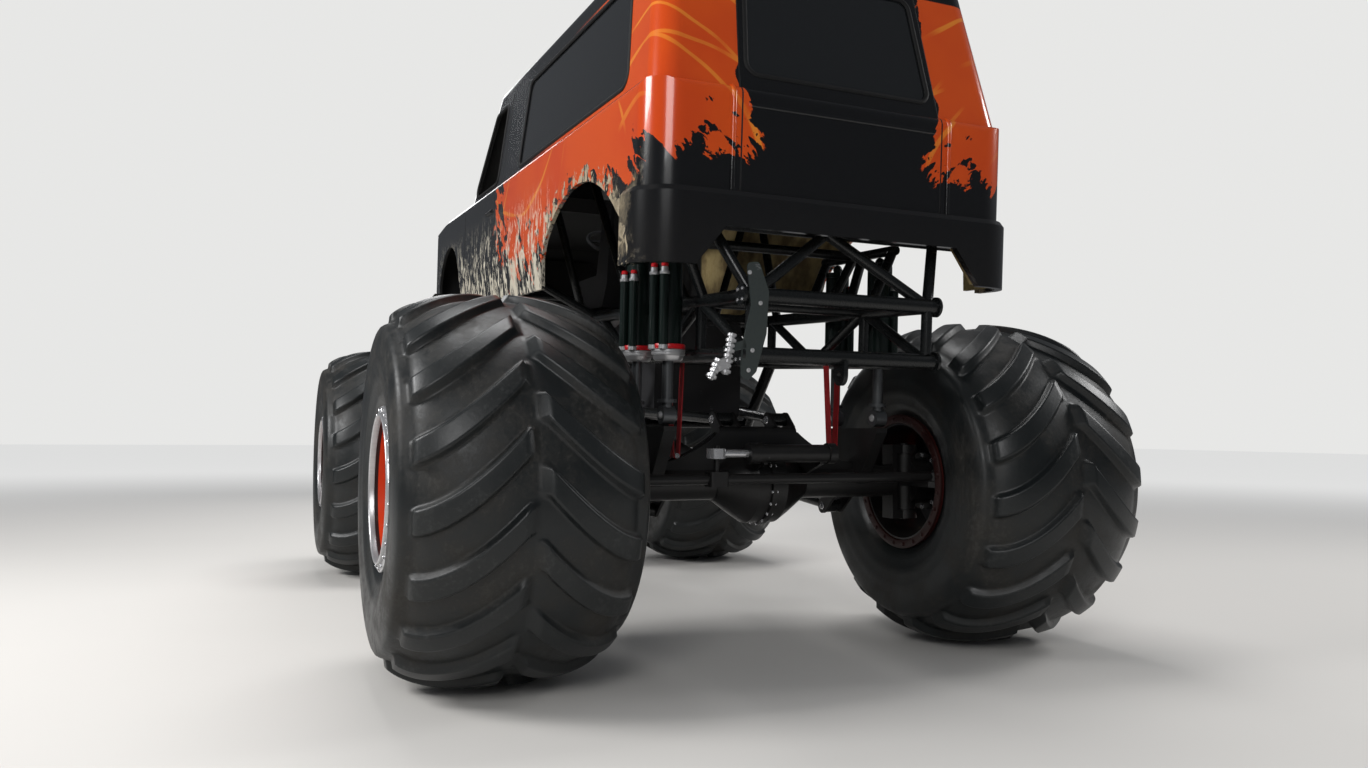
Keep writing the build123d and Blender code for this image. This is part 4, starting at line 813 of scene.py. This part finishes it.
def tyre_section(v):
    """Half width and radius along the section, bead to bead, for v from 0 to 1.

    |w/W|^n + |(r - m)/h|^n = 1 about the widest line m: h is the tread's height over it above, and a larger
    one below, cut off at the bead. Both ends turn in behind the rim's flange.
    """
    angle = np.radians((v - 0.5) * 2 * BEAD_ANGLE)
    s, c = np.sin(angle), np.cos(angle)
    height = np.where(c > 0, TYRE_R - WIDEST_R, WALL_H)
    radial = 1 / (np.abs(s) ** SECTION_POWER + np.abs(c) ** SECTION_POWER) ** (1 / SECTION_POWER)
    w, r = SECTION_HALF_W * radial * s, WIDEST_R + height * radial * c
    w = np.concatenate([w[:1] * 0.995, w, w[-1:] * 0.995])
    return w, np.concatenate([[BEAD_TUCK_R], r, [BEAD_TUCK_R]])


def lug_turn(a):
    """How far a lug trails at the share a of the half width, in pitches: f = T (1 - (1 - b)^1.5)."""
    b = np.clip((a - LUG_FROM) / LUG_SPAN, 0, 1)
    return LUG_TRAIL * (1 - (1 - b) ** 1.5)


def lug_height(phase, w, r):
    """1 on a lug and 0 between: bars on each side, half a pitch apart, tapering out at the shoulder."""
    centre = np.where(w > 0, 0.25, 0.75)
    from_middle = np.abs((phase - centre + 0.5) % 1.0 - 0.5)
    inner = np.clip((np.abs(w) - 0.012) / 0.022, 0, 1)
    outer = np.clip((r - LUG_OUTER_R) / 0.03, 0, 1)
    return eased(0.5 - (from_middle - LUG_WIDTH / 2) / LUG_EDGE) * inner * outer


def tyre_points(fore, side):
    """The tyre's skin: the section swept round the axle, the carcass sunk by the lug depth between lugs.

    The grid's lines across the tread trail with the lugs, so that every lug's edge lies along one.
    """
    tyres = bpy.context.scene.truck_tyres
    turn = np.arange(tyres.round_steps) / tyres.round_steps
    w, r = tyre_section(np.linspace(0, 1, tyres.across_steps))
    lug = lug_height((turn * tyres.lugs)[:, None] % 1.0, w[None, :], r[None, :])
    trail = lug_turn(np.abs(w) / TYRE_HALF_W) / tyres.lugs
    tread = eased((r - TREAD_EDGE_R) / 0.06)[None, :]
    ribs = sum(np.exp(-(((r - at) / wide) ** 2)) * high for at, wide, high in SIDEWALL_RIBS)
    nw, nr = np.gradient(r), -np.gradient(w)
    length = np.hypot(nw, nr)
    flip = np.sign((nr * (r - WIDEST_R) + nw * w).mean())
    nw, nr = flip * nw / length, flip * nr / length
    out = ribs[None, :] - tyres.lug_depth * tread * (1 - lug)
    ww, rr = w + out * nw, r + out * nr
    theta = 2 * math.pi * (turn[:, None] + trail[None, :])
    points = np.stack(
        [fore * AXLE_X + rr * np.cos(theta), side * TRACK_Y + ww, AXLE_Z + rr * np.sin(theta)], axis=-1
    )
    return points, lug


class TRUCK_OT_tyres(bpy.types.Operator):
    """Build the four lugged tyres over their frame nodes"""

    bl_idname = "truck.tyres"
    bl_label = "Tyres"

    def execute(self, context):
        for name, fore, side in CORNERS:
            points, lug = tyre_points(fore, side)
            mesh = ring_mesh("Tyre " + name, points[:, ::-1], lug[:, ::-1])
            piece = add_piece("lugged_tyre_" + name, mesh, "wheel_" + name, "Dusty rubber")
            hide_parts("tyre_" + name)
        return {"FINISHED"}


# Wheels


def wheel_point(fore, side, out):
    """A point on the wheel's axis, a distance outwards from its centre."""
    return np.array([fore * AXLE_X, side * (TRACK_Y + out), AXLE_Z])


# Profiles as (distance along the axis, radius)
RING_T = 0.0105
RING_EDGE = ((-0.004, 0.3462), (0.004, 0.3472), (0.009, 0.345), (RING_T, 0.340))
RING_SECTION = RING_EDGE + ((RING_T, 0.310), (0.009, 0.305), (0.002, 0.3015), (-0.004, 0.3015))
LIP_SECTION = RING_EDGE + (
    (RING_T, 0.3165), (0.015, 0.3150), (0.022, 0.3140), (0.025, 0.3110), (0.0255, 0.3075), (0.024, 0.3030),
    (0.020, 0.3000), (-0.004, 0.2990),
)
CAP_BOSS = ((-0.002, 0.072), (0.010, 0.069), (0.015, 0.060), (0.015, 0.034), (0.021, 0.030), (0.022, 0.004))
HUB_BANDS = (-0.118, -0.075, -0.032)
BAND_SECTION = ((-0.009, 0.1845), (-0.007, 0.1895), (0.007, 0.1895), (0.009, 0.1845))
# Face, circle's radius, count and size
WHEEL_BOLTS = (
    (RIM_FACE + RING_T, 0.3295, 24, 0.0075), (HUB_FACE, 0.163, 12, 0.010), (CAP_FACE, 0.118, 8, 0.008),
    (DISC_FACE, 0.1945, 20, 0.0065),
)


class TRUCK_OT_wheels(bpy.types.Operator):
    """Add the bead rings, hub covers and bolts to the four wheels"""

    bl_idname = "truck.wheels"
    bl_label = "Wheel details"

    def execute(self, context):
        for name, fore, side in CORNERS:
            body = "wheel_" + name
            out, back = (0, side, 0), (0, -side, 0)
            ring, inner, hub, bolts, flange = (Batch() for _ in range(5))
            ring.turned(LIP_SECTION, wheel_point(fore, side, RIM_FACE), out, 96, ahead=True)
            inner.turned(RING_SECTION, wheel_point(fore, side, -RIM_FACE), back, 96, ahead=True)
            inner.bolt_circle(wheel_point(fore, side, -RIM_FACE - RING_T), back, 0.325, 24, 0.0085)
            hub.turned(CAP_BOSS, wheel_point(fore, side, CAP_FACE), out, 48)
            for at in HUB_BANDS:
                hub.turned(BAND_SECTION, wheel_point(fore, side, at), out, 64, ahead=True)
            for face, r, count, size in WHEEL_BOLTS:
                bolts.bolt_circle(wheel_point(fore, side, face), out, r, count, size)
            flange.bolt_circle((fore * AXLE_X, side * FLANGE_Y, AXLE_Z), back, 0.134, 10, 0.009)
            ring.piece("bead_ring_" + name, body, "chrome_rod", "Turned alloy")
            inner.piece("inner_ring_" + name, body, "rim_paint", "Dull red")
            hub.piece("hub_cover_" + name, body, "axle_steel", "Axle black")
            bolts.piece("wheel_bolts_" + name, body, "chrome_rod", "Chrome rod")
            flange.piece("flange_bolts_" + name, "knuckle_" + name, "chrome_rod", "Chrome rod")
        return {"FINISHED"}


# Shocks, links and axles


def shock_ends():
    """Top, low end, direction down and outward side of each shock's body."""
    for fore in (1, -1):
        for side in (1, -1):
            for x in SHOCK_X:
                foot = np.array([fore * (AXLE_X + x), side * SHOCK_Y, SHOCK_FOOT_Z])
                top = raked((fore * (AXLE_X + x), side * SHOCK_Y, SHOCK_TOP_Z))
                down = unit(foot - top)
                yield top, top + down * SHOCK_BODY_L, down, foot, side


RING_GROOVES = (
    (-0.001, SHOCK_R), (-0.001, 0.0745), (0.003, 0.0765), (0.012, 0.0765), (0.014, 0.0748), (0.018, 0.0748),
    (0.019, 0.0765), (0.021, 0.0745), (0.022, SHOCK_R),
)
CAP_PROFILE = (
    (0.022, SHOCK_R), (0.0225, 0.0750), (0.025, 0.0770), (0.034, 0.0770), (0.036, 0.0752), (0.040, 0.0752),
    (0.042, 0.0770), (0.048, 0.0765), (0.051, 0.0700), (0.066, 0.0665), (0.074, 0.058), (0.074, 0.0262),
    (0.022, 0.0262),
)
VALVE_PROFILE = (
    (-0.003, 0.021), (0.0, 0.0225), (0.010, 0.0225), (0.013, 0.0165), (0.030, 0.0165), (0.032, 0.012),
)
KNOB_PROFILE = ((0.032, 0.0125), (0.034, 0.0155), (0.046, 0.0155), (0.050, 0.012), (0.051, 0.002))
FERRULE_PROFILE = ((-0.004, 0.0185), (-0.003, 0.0215), (0.014, 0.0215), (0.016, 0.0195))
TOP_NUT = ((0.018, 0.031), (0.022, 0.034), (0.040, 0.034), (0.046, 0.061))


class TRUCK_OT_shocks(bpy.types.Operator):
    """Dress the shocks: red rings, turned caps, bypass valves and knobs"""

    bl_idname = "truck.shocks"
    bl_label = "Shock details"

    def execute(self, context):
        red, bright = Batch(), Batch()
        for top, low, down, foot, side in shock_ends():
            red.turned(RING_GROOVES, low - down * SHOCK_CAP_L, down, 40, ahead=True)
            bright.turned(CAP_PROFILE, low - down * SHOCK_CAP_L, down, 40, ahead=True)
            bright.turned(TOP_NUT, top, down, 24)
            outward = np.array([0.0, side, 0.0])
            outward = unit(outward - (outward @ down) * down)
            third = np.cross(down, outward)
            for turn in BYPASS_TURNS:
                a = math.radians(turn)
                reach = (math.cos(a) * outward + math.sin(a) * third) * BYPASS_OUT
                tube = low + reach - down * (BYPASS_UP + BYPASS_L)
                bright.turned(VALVE_PROFILE, tube, -down, 20)
                red.turned(KNOB_PROFILE, tube, -down, 16)
                bright.turned(FERRULE_PROFILE, low + reach - down * FERRULE_UP, down, 20)
            bright.bolt_pair(foot, FOOT_HALF, 0.013, 0.011)
        red.piece("shock_rings", "chassis", "shock_body", "Anodised red")
        bright.piece("shock_caps", "chassis", "chrome_rod", "Turned alloy")
        return {"FINISHED"}


def belt_path(high, r_high, low, r_low, steps=14):
    """A belt's outline round two parallel pins, in their plane: tangents to both circles and the two arcs."""
    span = np.asarray(low, float) - np.asarray(high, float)
    length = np.hypot(*span)
    lead = math.atan2(span[1], span[0])
    spread = math.acos((r_high - r_low) / length)
    top = lead + np.linspace(spread, 2 * math.pi - spread, 2 * steps)
    bottom = lead + np.linspace(-spread, spread, steps)
    arcs = [
        np.asarray(centre) + r * np.stack([np.cos(a), np.sin(a)], axis=-1)
        for centre, r, a in ((high, r_high, top), (low, r_low, bottom))
    ]
    return np.concatenate(arcs)


STRAP_SECTION = flat_section(0.0225, 0.0025)
STRAP_PIN_UP = 0.135
STRAP_PIN_R = 0.012
LINK_BOLT = (0.014, 0.012)
LINK_EYE_X = 0.350
LINK_EYE_Z = BELLY_Z - 0.076
HOOP_PAD_Y = FRAME_HW + 0.0523
DIFF_RING = ((-0.013, 0.186), (-0.011, 0.2035), (0.011, 0.2035), (0.013, 0.186))


class TRUCK_OT_chassis(bpy.types.Operator):
    """Add the limit straps, the link bolts, the differential rings and the bolts of the hoops' plates"""

    bl_idname = "truck.chassis"
    bl_label = "Chassis details"

    def execute(self, context):
        straps, bolts, rings = Batch(), Batch(), Batch()
        for fore in (1, -1):
            x = fore * AXLE_X
            rings.turned(DIFF_RING, (x, 0, AXLE_Z), (0, 1, 0), 64, ahead=True)
            for way in (1, -1):
                bolts.bolt_circle((x, way * 0.0125, AXLE_Z), (0, way, 0), 0.1955, 20, 0.006)
            for side in (1, -1):
                rail = raked((x, side * FRAME_HW, LOWER_Z))
                pin = np.array([x, side * FRAME_HW, AXLE_Z + STRAP_PIN_UP])
                outline = belt_path(rail[1:], MAIN_R + 0.003, pin[1:], STRAP_PIN_R + 0.0025)
                path = np.column_stack([np.full(len(outline), x), outline])
                centre = (rail + pin) / 2
                straps.swept(path, unit(path - centre), STRAP_SECTION, closed=True)
                bolts.turned([(-0.03, STRAP_PIN_R), (0.03, STRAP_PIN_R)], pin, (1, 0, 0), 16)
                for lx, ly, lz in (LOWER_LINK, UPPER_LINK):
                    bolts.bolt_pair(np.array([fore * lx, side * ly, lz]), EYE_HALF, *LINK_BOLT)
                frame_eye = raked((fore * LINK_EYE_X, side * FRAME_HW, LINK_EYE_Z))
                bolts.bolt_pair(frame_eye, EYE_HALF, *LINK_BOLT)
                for level in (UPPER_Z, LOWER_Z):
                    end = raked((fore * FRAME_END, side * HOOP_PAD_Y, level))
                    bolts.bolt_circle(end, (0, side, 0), 0.030, 4, 0.0055)
        straps.piece("limit_straps", "chassis", "seat_vinyl", "Red webbing")
        rings.piece("diff_rings", "chassis", "axle_steel", "Axle black")
        bolts.piece("chassis_bolts", "chassis", "chrome_rod", "Chrome rod")
        return {"FINISHED"}


# The plate, its bolts, its arm and the unions' block in (y, z), and a union's profile
HOOP_PLATE = (
    (0.474, 1.900), (0.451, 1.724), (0.487, 1.554), (0.489, 1.447), (0.459, 1.424), (0.419, 1.465),
    (0.378, 1.619), (0.372, 1.789), (0.420, 1.905),
)
HOOP_PLATE_BOLTS = ((0.462, 1.86), (0.41, 1.74), (0.44, 1.55), (0.455, 1.47))
HOOP_ARM = ((0.470, 1.575), (0.560, 1.545))
UNION_BLOCK = ((0.545, 1.500), (0.600, 1.478))
UNION = (
    (0.000, 0.0100), (0.003, 0.0185), (0.013, 0.0185), (0.016, 0.0130), (0.022, 0.0130), (0.025, 0.0215),
    (0.036, 0.0215), (0.039, 0.0125), (0.043, 0.0125),
)
UNION_L = UNION[-1][0]
# Each stack's two ends and its count of unions
UNION_STACKS = (((0.529, 1.615), (0.556, 1.450), 4), ((0.582, 1.510), (0.620, 1.430), 2))


class TRUCK_OT_hoop(bpy.types.Operator):
    """Add the gusset plate and the hydraulic unions at the rear hoop's left end"""

    bl_idname = "truck.hoop"
    bl_label = "Rear hoop details"

    def execute(self, context):
        plate, unions = Batch(), Batch()
        at = -(FRAME_END + MAIN_R + 0.004)
        backwards = raked_ways((-1, 0, 0))
        outline = rounded_path(HOOP_PLATE, 0.018, 5)
        plate.slab(raked(np.column_stack([np.full(len(outline), at), outline])), backwards, 0.008)
        arm = raked([(at, *end) for end in HOOP_ARM])
        plate.swept(arm, backwards, flat_section(0.016, 0.004))
        for y, z in HOOP_PLATE_BOLTS:
            unions.bolt(raked((at - 0.004, y, z)), backwards, 0.0065, 0.004)
        for start, stop, count in UNION_STACKS:
            first, last = raked((at, *start)), raked((at, *stop))
            share = np.linalg.norm(last - first) / count / UNION_L
            profile = [((i * UNION_L + a) * share, r) for i in range(count) for a, r in UNION]
            unions.turned(profile, first, last - first, 20)
        block = raked([(at, *end) for end in UNION_BLOCK])
        unions.swept(block, backwards, flat_section(0.02, 0.017))
        plate.piece("hoop_plate", "chassis", "axle_steel", "Plate grey")
        unions.piece("hoop_unions", "chassis", "chrome_rod", "Turned alloy")
        return {"FINISHED"}


# Body trim

# The glass's distances from the cabin's tail, front and sides, and the windscreen's foot
QUARTER_IN = 0.330
DOOR_GLASS_IN = 0.095
SCREEN_IN = 0.1475
SCREEN_LOW = 2.750

# Door seams and handle, the tail's ridges and crease, and the radiator core with its fins
DOOR_LOW = ROCKER_Z + 0.06
DOOR_HIGH = 3.22
HANDLE_Z = 2.47
HANDLE_L = 0.14
RIDGE_Y = 0.528
CREASE_HW = 0.46
CORE_X = 2.30
CORE_HW = 0.47
CORE_Z = 2.27
FIN_X = 2.318
FIN_HW = 0.455
FIN_Z = (2.11, 2.43)
FINS = 66


def cabin_at(z):
    """Half width, tail and front of the level cabin at a height."""
    t = (z - BELT_Z) / (ROOF_Z - BELT_Z)
    return tuple(low + (high - low) * t for low, high in (CABIN_HW, CABIN_TAIL, CABIN_FRONT))


def rounded_path(corners, radius, steps=7):
    """A closed polygon with each corner turned by an arc that starts r / tan(a / 2) from it."""
    corners = np.asarray(corners, float)
    before = unit(np.roll(corners, 1, 0) - corners)
    after = unit(np.roll(corners, -1, 0) - corners)
    half = np.arccos((before * after).sum(1)) / 2
    centre = corners + unit(before + after) * (radius / np.sin(half))[:, None]
    reach = (radius / np.tan(half))[:, None]
    first, last = corners + before * reach - centre, corners + after * reach - centre
    start = np.arctan2(first[:, 1], first[:, 0])
    sweep = (np.arctan2(last[:, 1], last[:, 0]) - start + math.pi) % (2 * math.pi) - math.pi
    angle = start[:, None] + sweep[:, None] * np.linspace(0, 1, steps)
    arcs = centre[:, None] + radius * np.stack([np.cos(angle), np.sin(angle)], axis=-1)
    return arcs.reshape(-1, 2)


def wall_normal(wall):
    """The way out of one of the cabin's leaning walls."""
    rise = ROOF_Z - BELT_Z
    normals = {
        "left": (0, rise, CABIN_HW[0] - CABIN_HW[1]), "right": (0, -rise, CABIN_HW[0] - CABIN_HW[1]),
        "tail": (-rise, 0, CABIN_TAIL[1] - CABIN_TAIL[0]),
        "screen": (rise, 0, CABIN_FRONT[0] - CABIN_FRONT[1]),
    }
    return unit(raked_ways(normals[wall]))


def on_wall(wall, outline):
    """Points of an outline in (x or y, z) laid on one of the cabin's walls."""
    u, z = outline[:, 0], outline[:, 1]
    half, tail, front = cabin_at(z)
    columns = {
        "left": (u, half, z), "right": (u, -half, z), "tail": (tail, u, z), "screen": (front, u, z),
    }
    return raked(np.column_stack(columns[wall]))


def window_outlines():
    """Each window's wall and corners."""
    low, high = GLASS_LOW, GLASS_HIGH
    tail_low, tail_high = (cabin_at(z)[1] + QUARTER_IN for z in (low, high))
    front_low, front_high = (cabin_at(z)[2] - DOOR_GLASS_IN for z in (low, high))
    quarter = [(tail_low, low), (-0.300, low), (-0.300, high), (tail_high, high)]
    door = [(0.245, low), (front_low, low), (front_high, high), (0.245, high)]
    rear = [(-0.454, low + 0.02), (0.454, low + 0.02), (0.414, high), (-0.414, high)]
    a, b = (cabin_at(z)[0] - SCREEN_IN for z in (SCREEN_LOW, high))
    screen = [(-a, SCREEN_LOW), (a, SCREEN_LOW), (b, high), (-b, high)]
    walls = [(wall, corners) for wall in ("left", "right") for corners in (quarter, door)]
    return walls + [("tail", rear), ("screen", screen)]


def round_section(w, h, steps=10):
    """A low arch from -w to w, closed below: (w cos u, h sin u)."""
    a = np.linspace(0, math.pi, steps)
    arch = np.stack([w * np.cos(a), h * np.sin(a)], axis=-1)
    return np.concatenate([arch, [(-w, -0.003), (w, -0.003)]])


def shoulder():
    """Up the rounded shoulder under the belt: r (1 - cos a) in, its height, and cos a and sin a."""
    for a in np.linspace(0.2, 1.4, 5):
        c, s = math.cos(a), math.sin(a)
        yield SHOULDER_R * (1 - c), BELT_Z - SHOULDER_R * (1 - s), c, s


def tail_line(y_low, y_high, low, high):
    """A line up the tail: the lower wall, the belt's ledge and the cabin's wall, with their normals."""
    rows = [(TAIL_X, y_low, z, -1.0, 0.0) for z in np.linspace(low, BELT_Z - SHOULDER_R, 6)]
    rows += [(TAIL_X + inset, y_low, z, -c, s) for inset, z, c, s in shoulder()]
    if high > BELT_Z:
        lean = math.atan2(CABIN_TAIL[1] - CABIN_TAIL[0], ROOF_Z - BELT_Z)
        for z in np.linspace(BELT_Z + 0.004, high, 10):
            t = (z - BELT_Z) / (high - BELT_Z)
            rows.append((cabin_at(z)[1], y_low + (y_high - y_low) * t, z, -math.cos(lean), math.sin(lean)))
    rows = np.array(rows)
    normals = np.column_stack([rows[:, 3], np.zeros(len(rows)), rows[:, 4]])
    return raked(rows[:, :3]), unit(raked_ways(normals))


def flank_line(x, side, low, high):
    """A line up the flank at x: the tucked foot, the upright wall, the shoulder and the cabin's side."""
    rows = []
    for z in np.linspace(low, BELT_Z - SHOULDER_R, 9):
        rows.append((BODY_HW - TUCK * max(0.0, (TUCK_Z - z) / TUCK_H), z, 1.0, 0.0))
    if high > BELT_Z:
        rows += [(BODY_HW - inset, z, c, s) for inset, z, c, s in shoulder()]
        rows += [(cabin_at(z)[0], z, 0.99, 0.12) for z in np.linspace(BELT_Z + 0.004, high, 8)]
    rows = np.array(rows)
    count = len(rows)
    points = np.column_stack([np.full(count, x), side * rows[:, 0], rows[:, 1]])
    normals = np.column_stack([np.zeros(count), side * rows[:, 2], rows[:, 3]])
    return raked(points), unit(raked_ways(normals))


class TRUCK_OT_trim(bpy.types.Operator):
    """Add the window seals, panel seams, tail ridges, door handles and radiator core"""

    bl_idname = "truck.trim"
    bl_label = "Body trim"

    def execute(self, context):
        core, seals, seams, ridges, metal = (Batch() for _ in range(5))
        for wall, corners in window_outlines():
            path = on_wall(wall, rounded_path(corners, WINDOW_R))
            seals.swept(path, wall_normal(wall), round_section(0.011, 0.007), closed=True)
        seam = round_section(0.0035, 0.0014, 6)
        for side in (1, -1):
            hatch = tail_line(side * HATCH_HW, side * (HATCH_HW - 0.040), HATCH_LOW, HATCH_HIGH)
            rear_edge = flank_line(DOOR_X[0], side, DOOR_LOW, DOOR_HIGH)
            front_edge = flank_line(DOOR_X[1], side, DOOR_LOW, BELT_Z - 0.05)
            for line in (hatch, rear_edge, front_edge):
                seams.swept(*line, seam)
            ridge = tail_line(side * RIDGE_Y, side * RIDGE_Y, HATCH_LOW, BELT_Z)
            ridges.swept(*ridge, round_section(0.011, 0.009))
            spot, normal = flank_line(DOOR_X[0] + 0.07, side, HANDLE_Z, HANDLE_Z + 0.01)
            handle = spot[0] + np.array([[0.0, 0, 0], [HANDLE_L, 0, 0.007]])
            metal.swept(handle, normal[:2], round_section(0.013, 0.014))
        crease, normals = tail_line(0.0, 0.0, BELT_Z - 0.075, BELT_Z)
        across = np.linspace(-CREASE_HW, CREASE_HW, 12)
        bead = crease[0] + np.column_stack([np.zeros(12), across, np.zeros(12)])
        ridges.swept(bead, normals[0], round_section(0.009, 0.006))
        plate = raked([(CORE_X, -CORE_HW, CORE_Z), (CORE_X, CORE_HW, CORE_Z)])
        core.swept(plate, (1, 0, 0), flat_section(0.165, 0.012))
        for y in np.linspace(-FIN_HW, FIN_HW, FINS):
            fin = raked([(FIN_X, y, z) for z in FIN_Z])
            core.swept(fin, (1, 0, 0), flat_section(0.0015, 0.008))
        core.piece("radiator_core", "chassis", "axle_steel", "Axle black")
        seals.piece("window_seals", "chassis", "tyre_rubber", "Rubber seal")
        seams.piece("panel_seams", "chassis", "tyre_rubber", "Rubber seal")
        ridges.piece("tail_ridges", "chassis", "body_black", "Livery trim")
        metal.piece("door_handles", "chassis", "axle_steel", "Axle black")
        return {"FINISHED"}


class TRUCK_OT_finishes(bpy.types.Operator):
    """Make the finishes and give each frame node its own"""

    bl_idname = "truck.finishes"
    bl_label = "Finishes"

    def execute(self, context):
        dust_group()
        wear_group()
        for name, maker, values, nodes in FINISHES:
            maker(name, *values)
            for node in nodes.split():
                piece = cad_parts[node]
                for slot in piece.material_slots:
                    slot.material = bpy.data.materials[name]
                if not piece.material_slots:
                    piece.data.materials.append(bpy.data.materials[name])
        return {"FINISHED"}


# Stage


def camera_matrix(stage):
    """The camera's place and turn: forward from yaw and pitch, then leant by roll."""
    y, p, r = stage.yaw, stage.pitch, stage.roll
    forward = Vector((math.cos(p) * math.cos(y), -math.cos(p) * math.sin(y), math.sin(p)))
    right = forward.cross(Vector((0, 0, 1))).normalized()
    up = right.cross(forward)
    lean_right = math.cos(r) * right + math.sin(r) * up
    lean_up = -math.sin(r) * right + math.cos(r) * up
    turn = Matrix((lean_right, lean_up, -forward)).transposed()
    return Matrix.Translation(stage.eye) @ turn.to_4x4()


def area_light(name, place, aim, size, power):
    """A soft rectangular lamp that faces a point."""
    data = bpy.data.lights.new(name, "AREA")
    data.shape = "RECTANGLE"
    data.size, data.size_y = size
    data.energy = power
    lamp = bpy.data.objects.new(name, data)
    lamp.location = place
    lamp.rotation_mode = "QUATERNION"
    lamp.rotation_quaternion = (Vector(aim) - Vector(place)).to_track_quat("-Z", "Y")
    bpy.context.scene.collection.objects.link(lamp)


PALE = (0.8, 0.8, 0.79)


def seen(net, path):
    """1 for what the camera sees, also through glass."""
    return net.math("MAXIMUM", path["Is Camera Ray"], path["Is Transmission Ray"])


def floor_material(name, colour):
    """A pale matt floor. Far from the truck, past its shadow, it is seen as pale as the sky."""
    net, bsdf = new_material(name)
    place = net.place()
    cloud = net.noise(place, 0.6, 3.0, 0.5)
    net.put(bsdf["Base Color"], net.mix(cloud, tuple(c * 0.97 for c in colour), colour))
    bsdf["Roughness"].default_value = 0.85
    x, y = net.axes(place)[:2]
    far = net.math("SQRT", x ** 2.0 + y ** 2.0).step(3.5, 22.0, 0.0, 0.72)
    bsdf["Emission Color"].default_value = (*PALE, 1.0)
    net.put(bsdf["Emission Strength"], far * seen(net, net.node("ShaderNodeLightPath").outputs))


FLOOR_HALF = 60.0
# Name, place, aim, size and power
LIGHTS = (
    ("Key", (-1.0, 8.5, 6.0), (-0.5, 0, 1.8), (3.0, 3.0), 700),
    ("Fill", (-9.0, 4.5, 5.0), (0, 0, 1.6), (3.0, 3.0), 260),
    ("Right", (-3.0, -9.0, 6.0), (0, 0, 1.8), (2.5, 2.5), 300),
    ("Front", (9.0, -1.5, 5.5), (0, 0, 2.0), (5.0, 3.0), 240),
    ("Top", (0.5, 0.0, 8.5), (0, 0, 0), (5.0, 3.0), 400),
)


class TRUCK_OT_stage(bpy.types.Operator):
    """Set the floor, the soft lights, the sky and the camera"""

    bl_idname = "truck.stage"
    bl_label = "Stage"

    def execute(self, context):
        stage = context.scene.truck_stage
        scene = context.scene
        data = bpy.data.cameras.new("Camera")
        data.sensor_width = SENSOR_W
        data.lens = stage.focal_px * SENSOR_W / IMAGE_W
        data.clip_end = 200
        camera = bpy.data.objects.new("Camera", data)
        camera.matrix_world = camera_matrix(stage)
        scene.collection.objects.link(camera)
        scene.camera = camera

        corners = np.column_stack([flat_section(FLOOR_HALF, FLOOR_HALF), np.zeros(4)])
        floor = bpy.data.objects.new("Floor", quad_mesh("Floor", corners, np.array([[0, 1, 2, 3]])))
        floor_material("Plain floor", tuple(stage.floor))
        floor.data.materials.append(bpy.data.materials["Plain floor"])
        scene.collection.objects.link(floor)

        for light in LIGHTS:
            area_light(*light)

        world = bpy.data.worlds.new("Sky")
        world.use_nodes = True
        scene.world = world
        net = Net(world.node_tree)
        ground = world.node_tree.nodes["Background"]
        path = net.node("ShaderNodeLightPath").outputs
        viewed = seen(net, path)
        soft = net.blend(path["Is Glossy Ray"], 0.42, 0.15)
        net.put(ground.inputs["Color"], net.mix(viewed, (0.62, 0.65, 0.7), PALE))
        net.put(ground.inputs["Strength"], net.blend(viewed, soft, 1.0))
        return {"FINISHED"}


class TRUCK_PT_panel(bpy.types.Panel):
    """Buttons for each group of pieces"""

    bl_label = "Monster truck"
    bl_space_type = "VIEW_3D"
    bl_region_type = "UI"
    bl_category = "Truck"

    def draw(self, context):
        for step in STEPS:
            self.layout.operator(step.bl_idname)
        for group in (context.scene.truck_tyres, context.scene.truck_paint, context.scene.truck_stage):
            for name in group.__annotations__:
                self.layout.prop(group, name)


STEPS = (
    TRUCK_OT_finishes, TRUCK_OT_tyres, TRUCK_OT_wheels, TRUCK_OT_shocks, TRUCK_OT_chassis, TRUCK_OT_hoop,
    TRUCK_OT_trim, TRUCK_OT_stage,
)
GROUPS = (("truck_tyres", TruckTyres), ("truck_paint", TruckPaint), ("truck_stage", TruckStage))


def register():
    for name, group in GROUPS:
        bpy.utils.register_class(group)
        setattr(bpy.types.Scene, name, PointerProperty(type=group))
    for made in (*STEPS, TRUCK_PT_panel):
        bpy.utils.register_class(made)


def unregister():
    for made in (TRUCK_PT_panel, *reversed(STEPS)):
        bpy.utils.unregister_class(made)
    for name, group in reversed(GROUPS):
        delattr(bpy.types.Scene, name)
        bpy.utils.unregister_class(group)


def main():
    """Register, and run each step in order."""
    register()
    bpy.context.scene.view_settings.view_transform = "Standard"
    for step in STEPS:
        group, name = step.bl_idname.split(".")
        getattr(getattr(bpy.ops, group), name)()


if __name__ == "__main__":
    main()
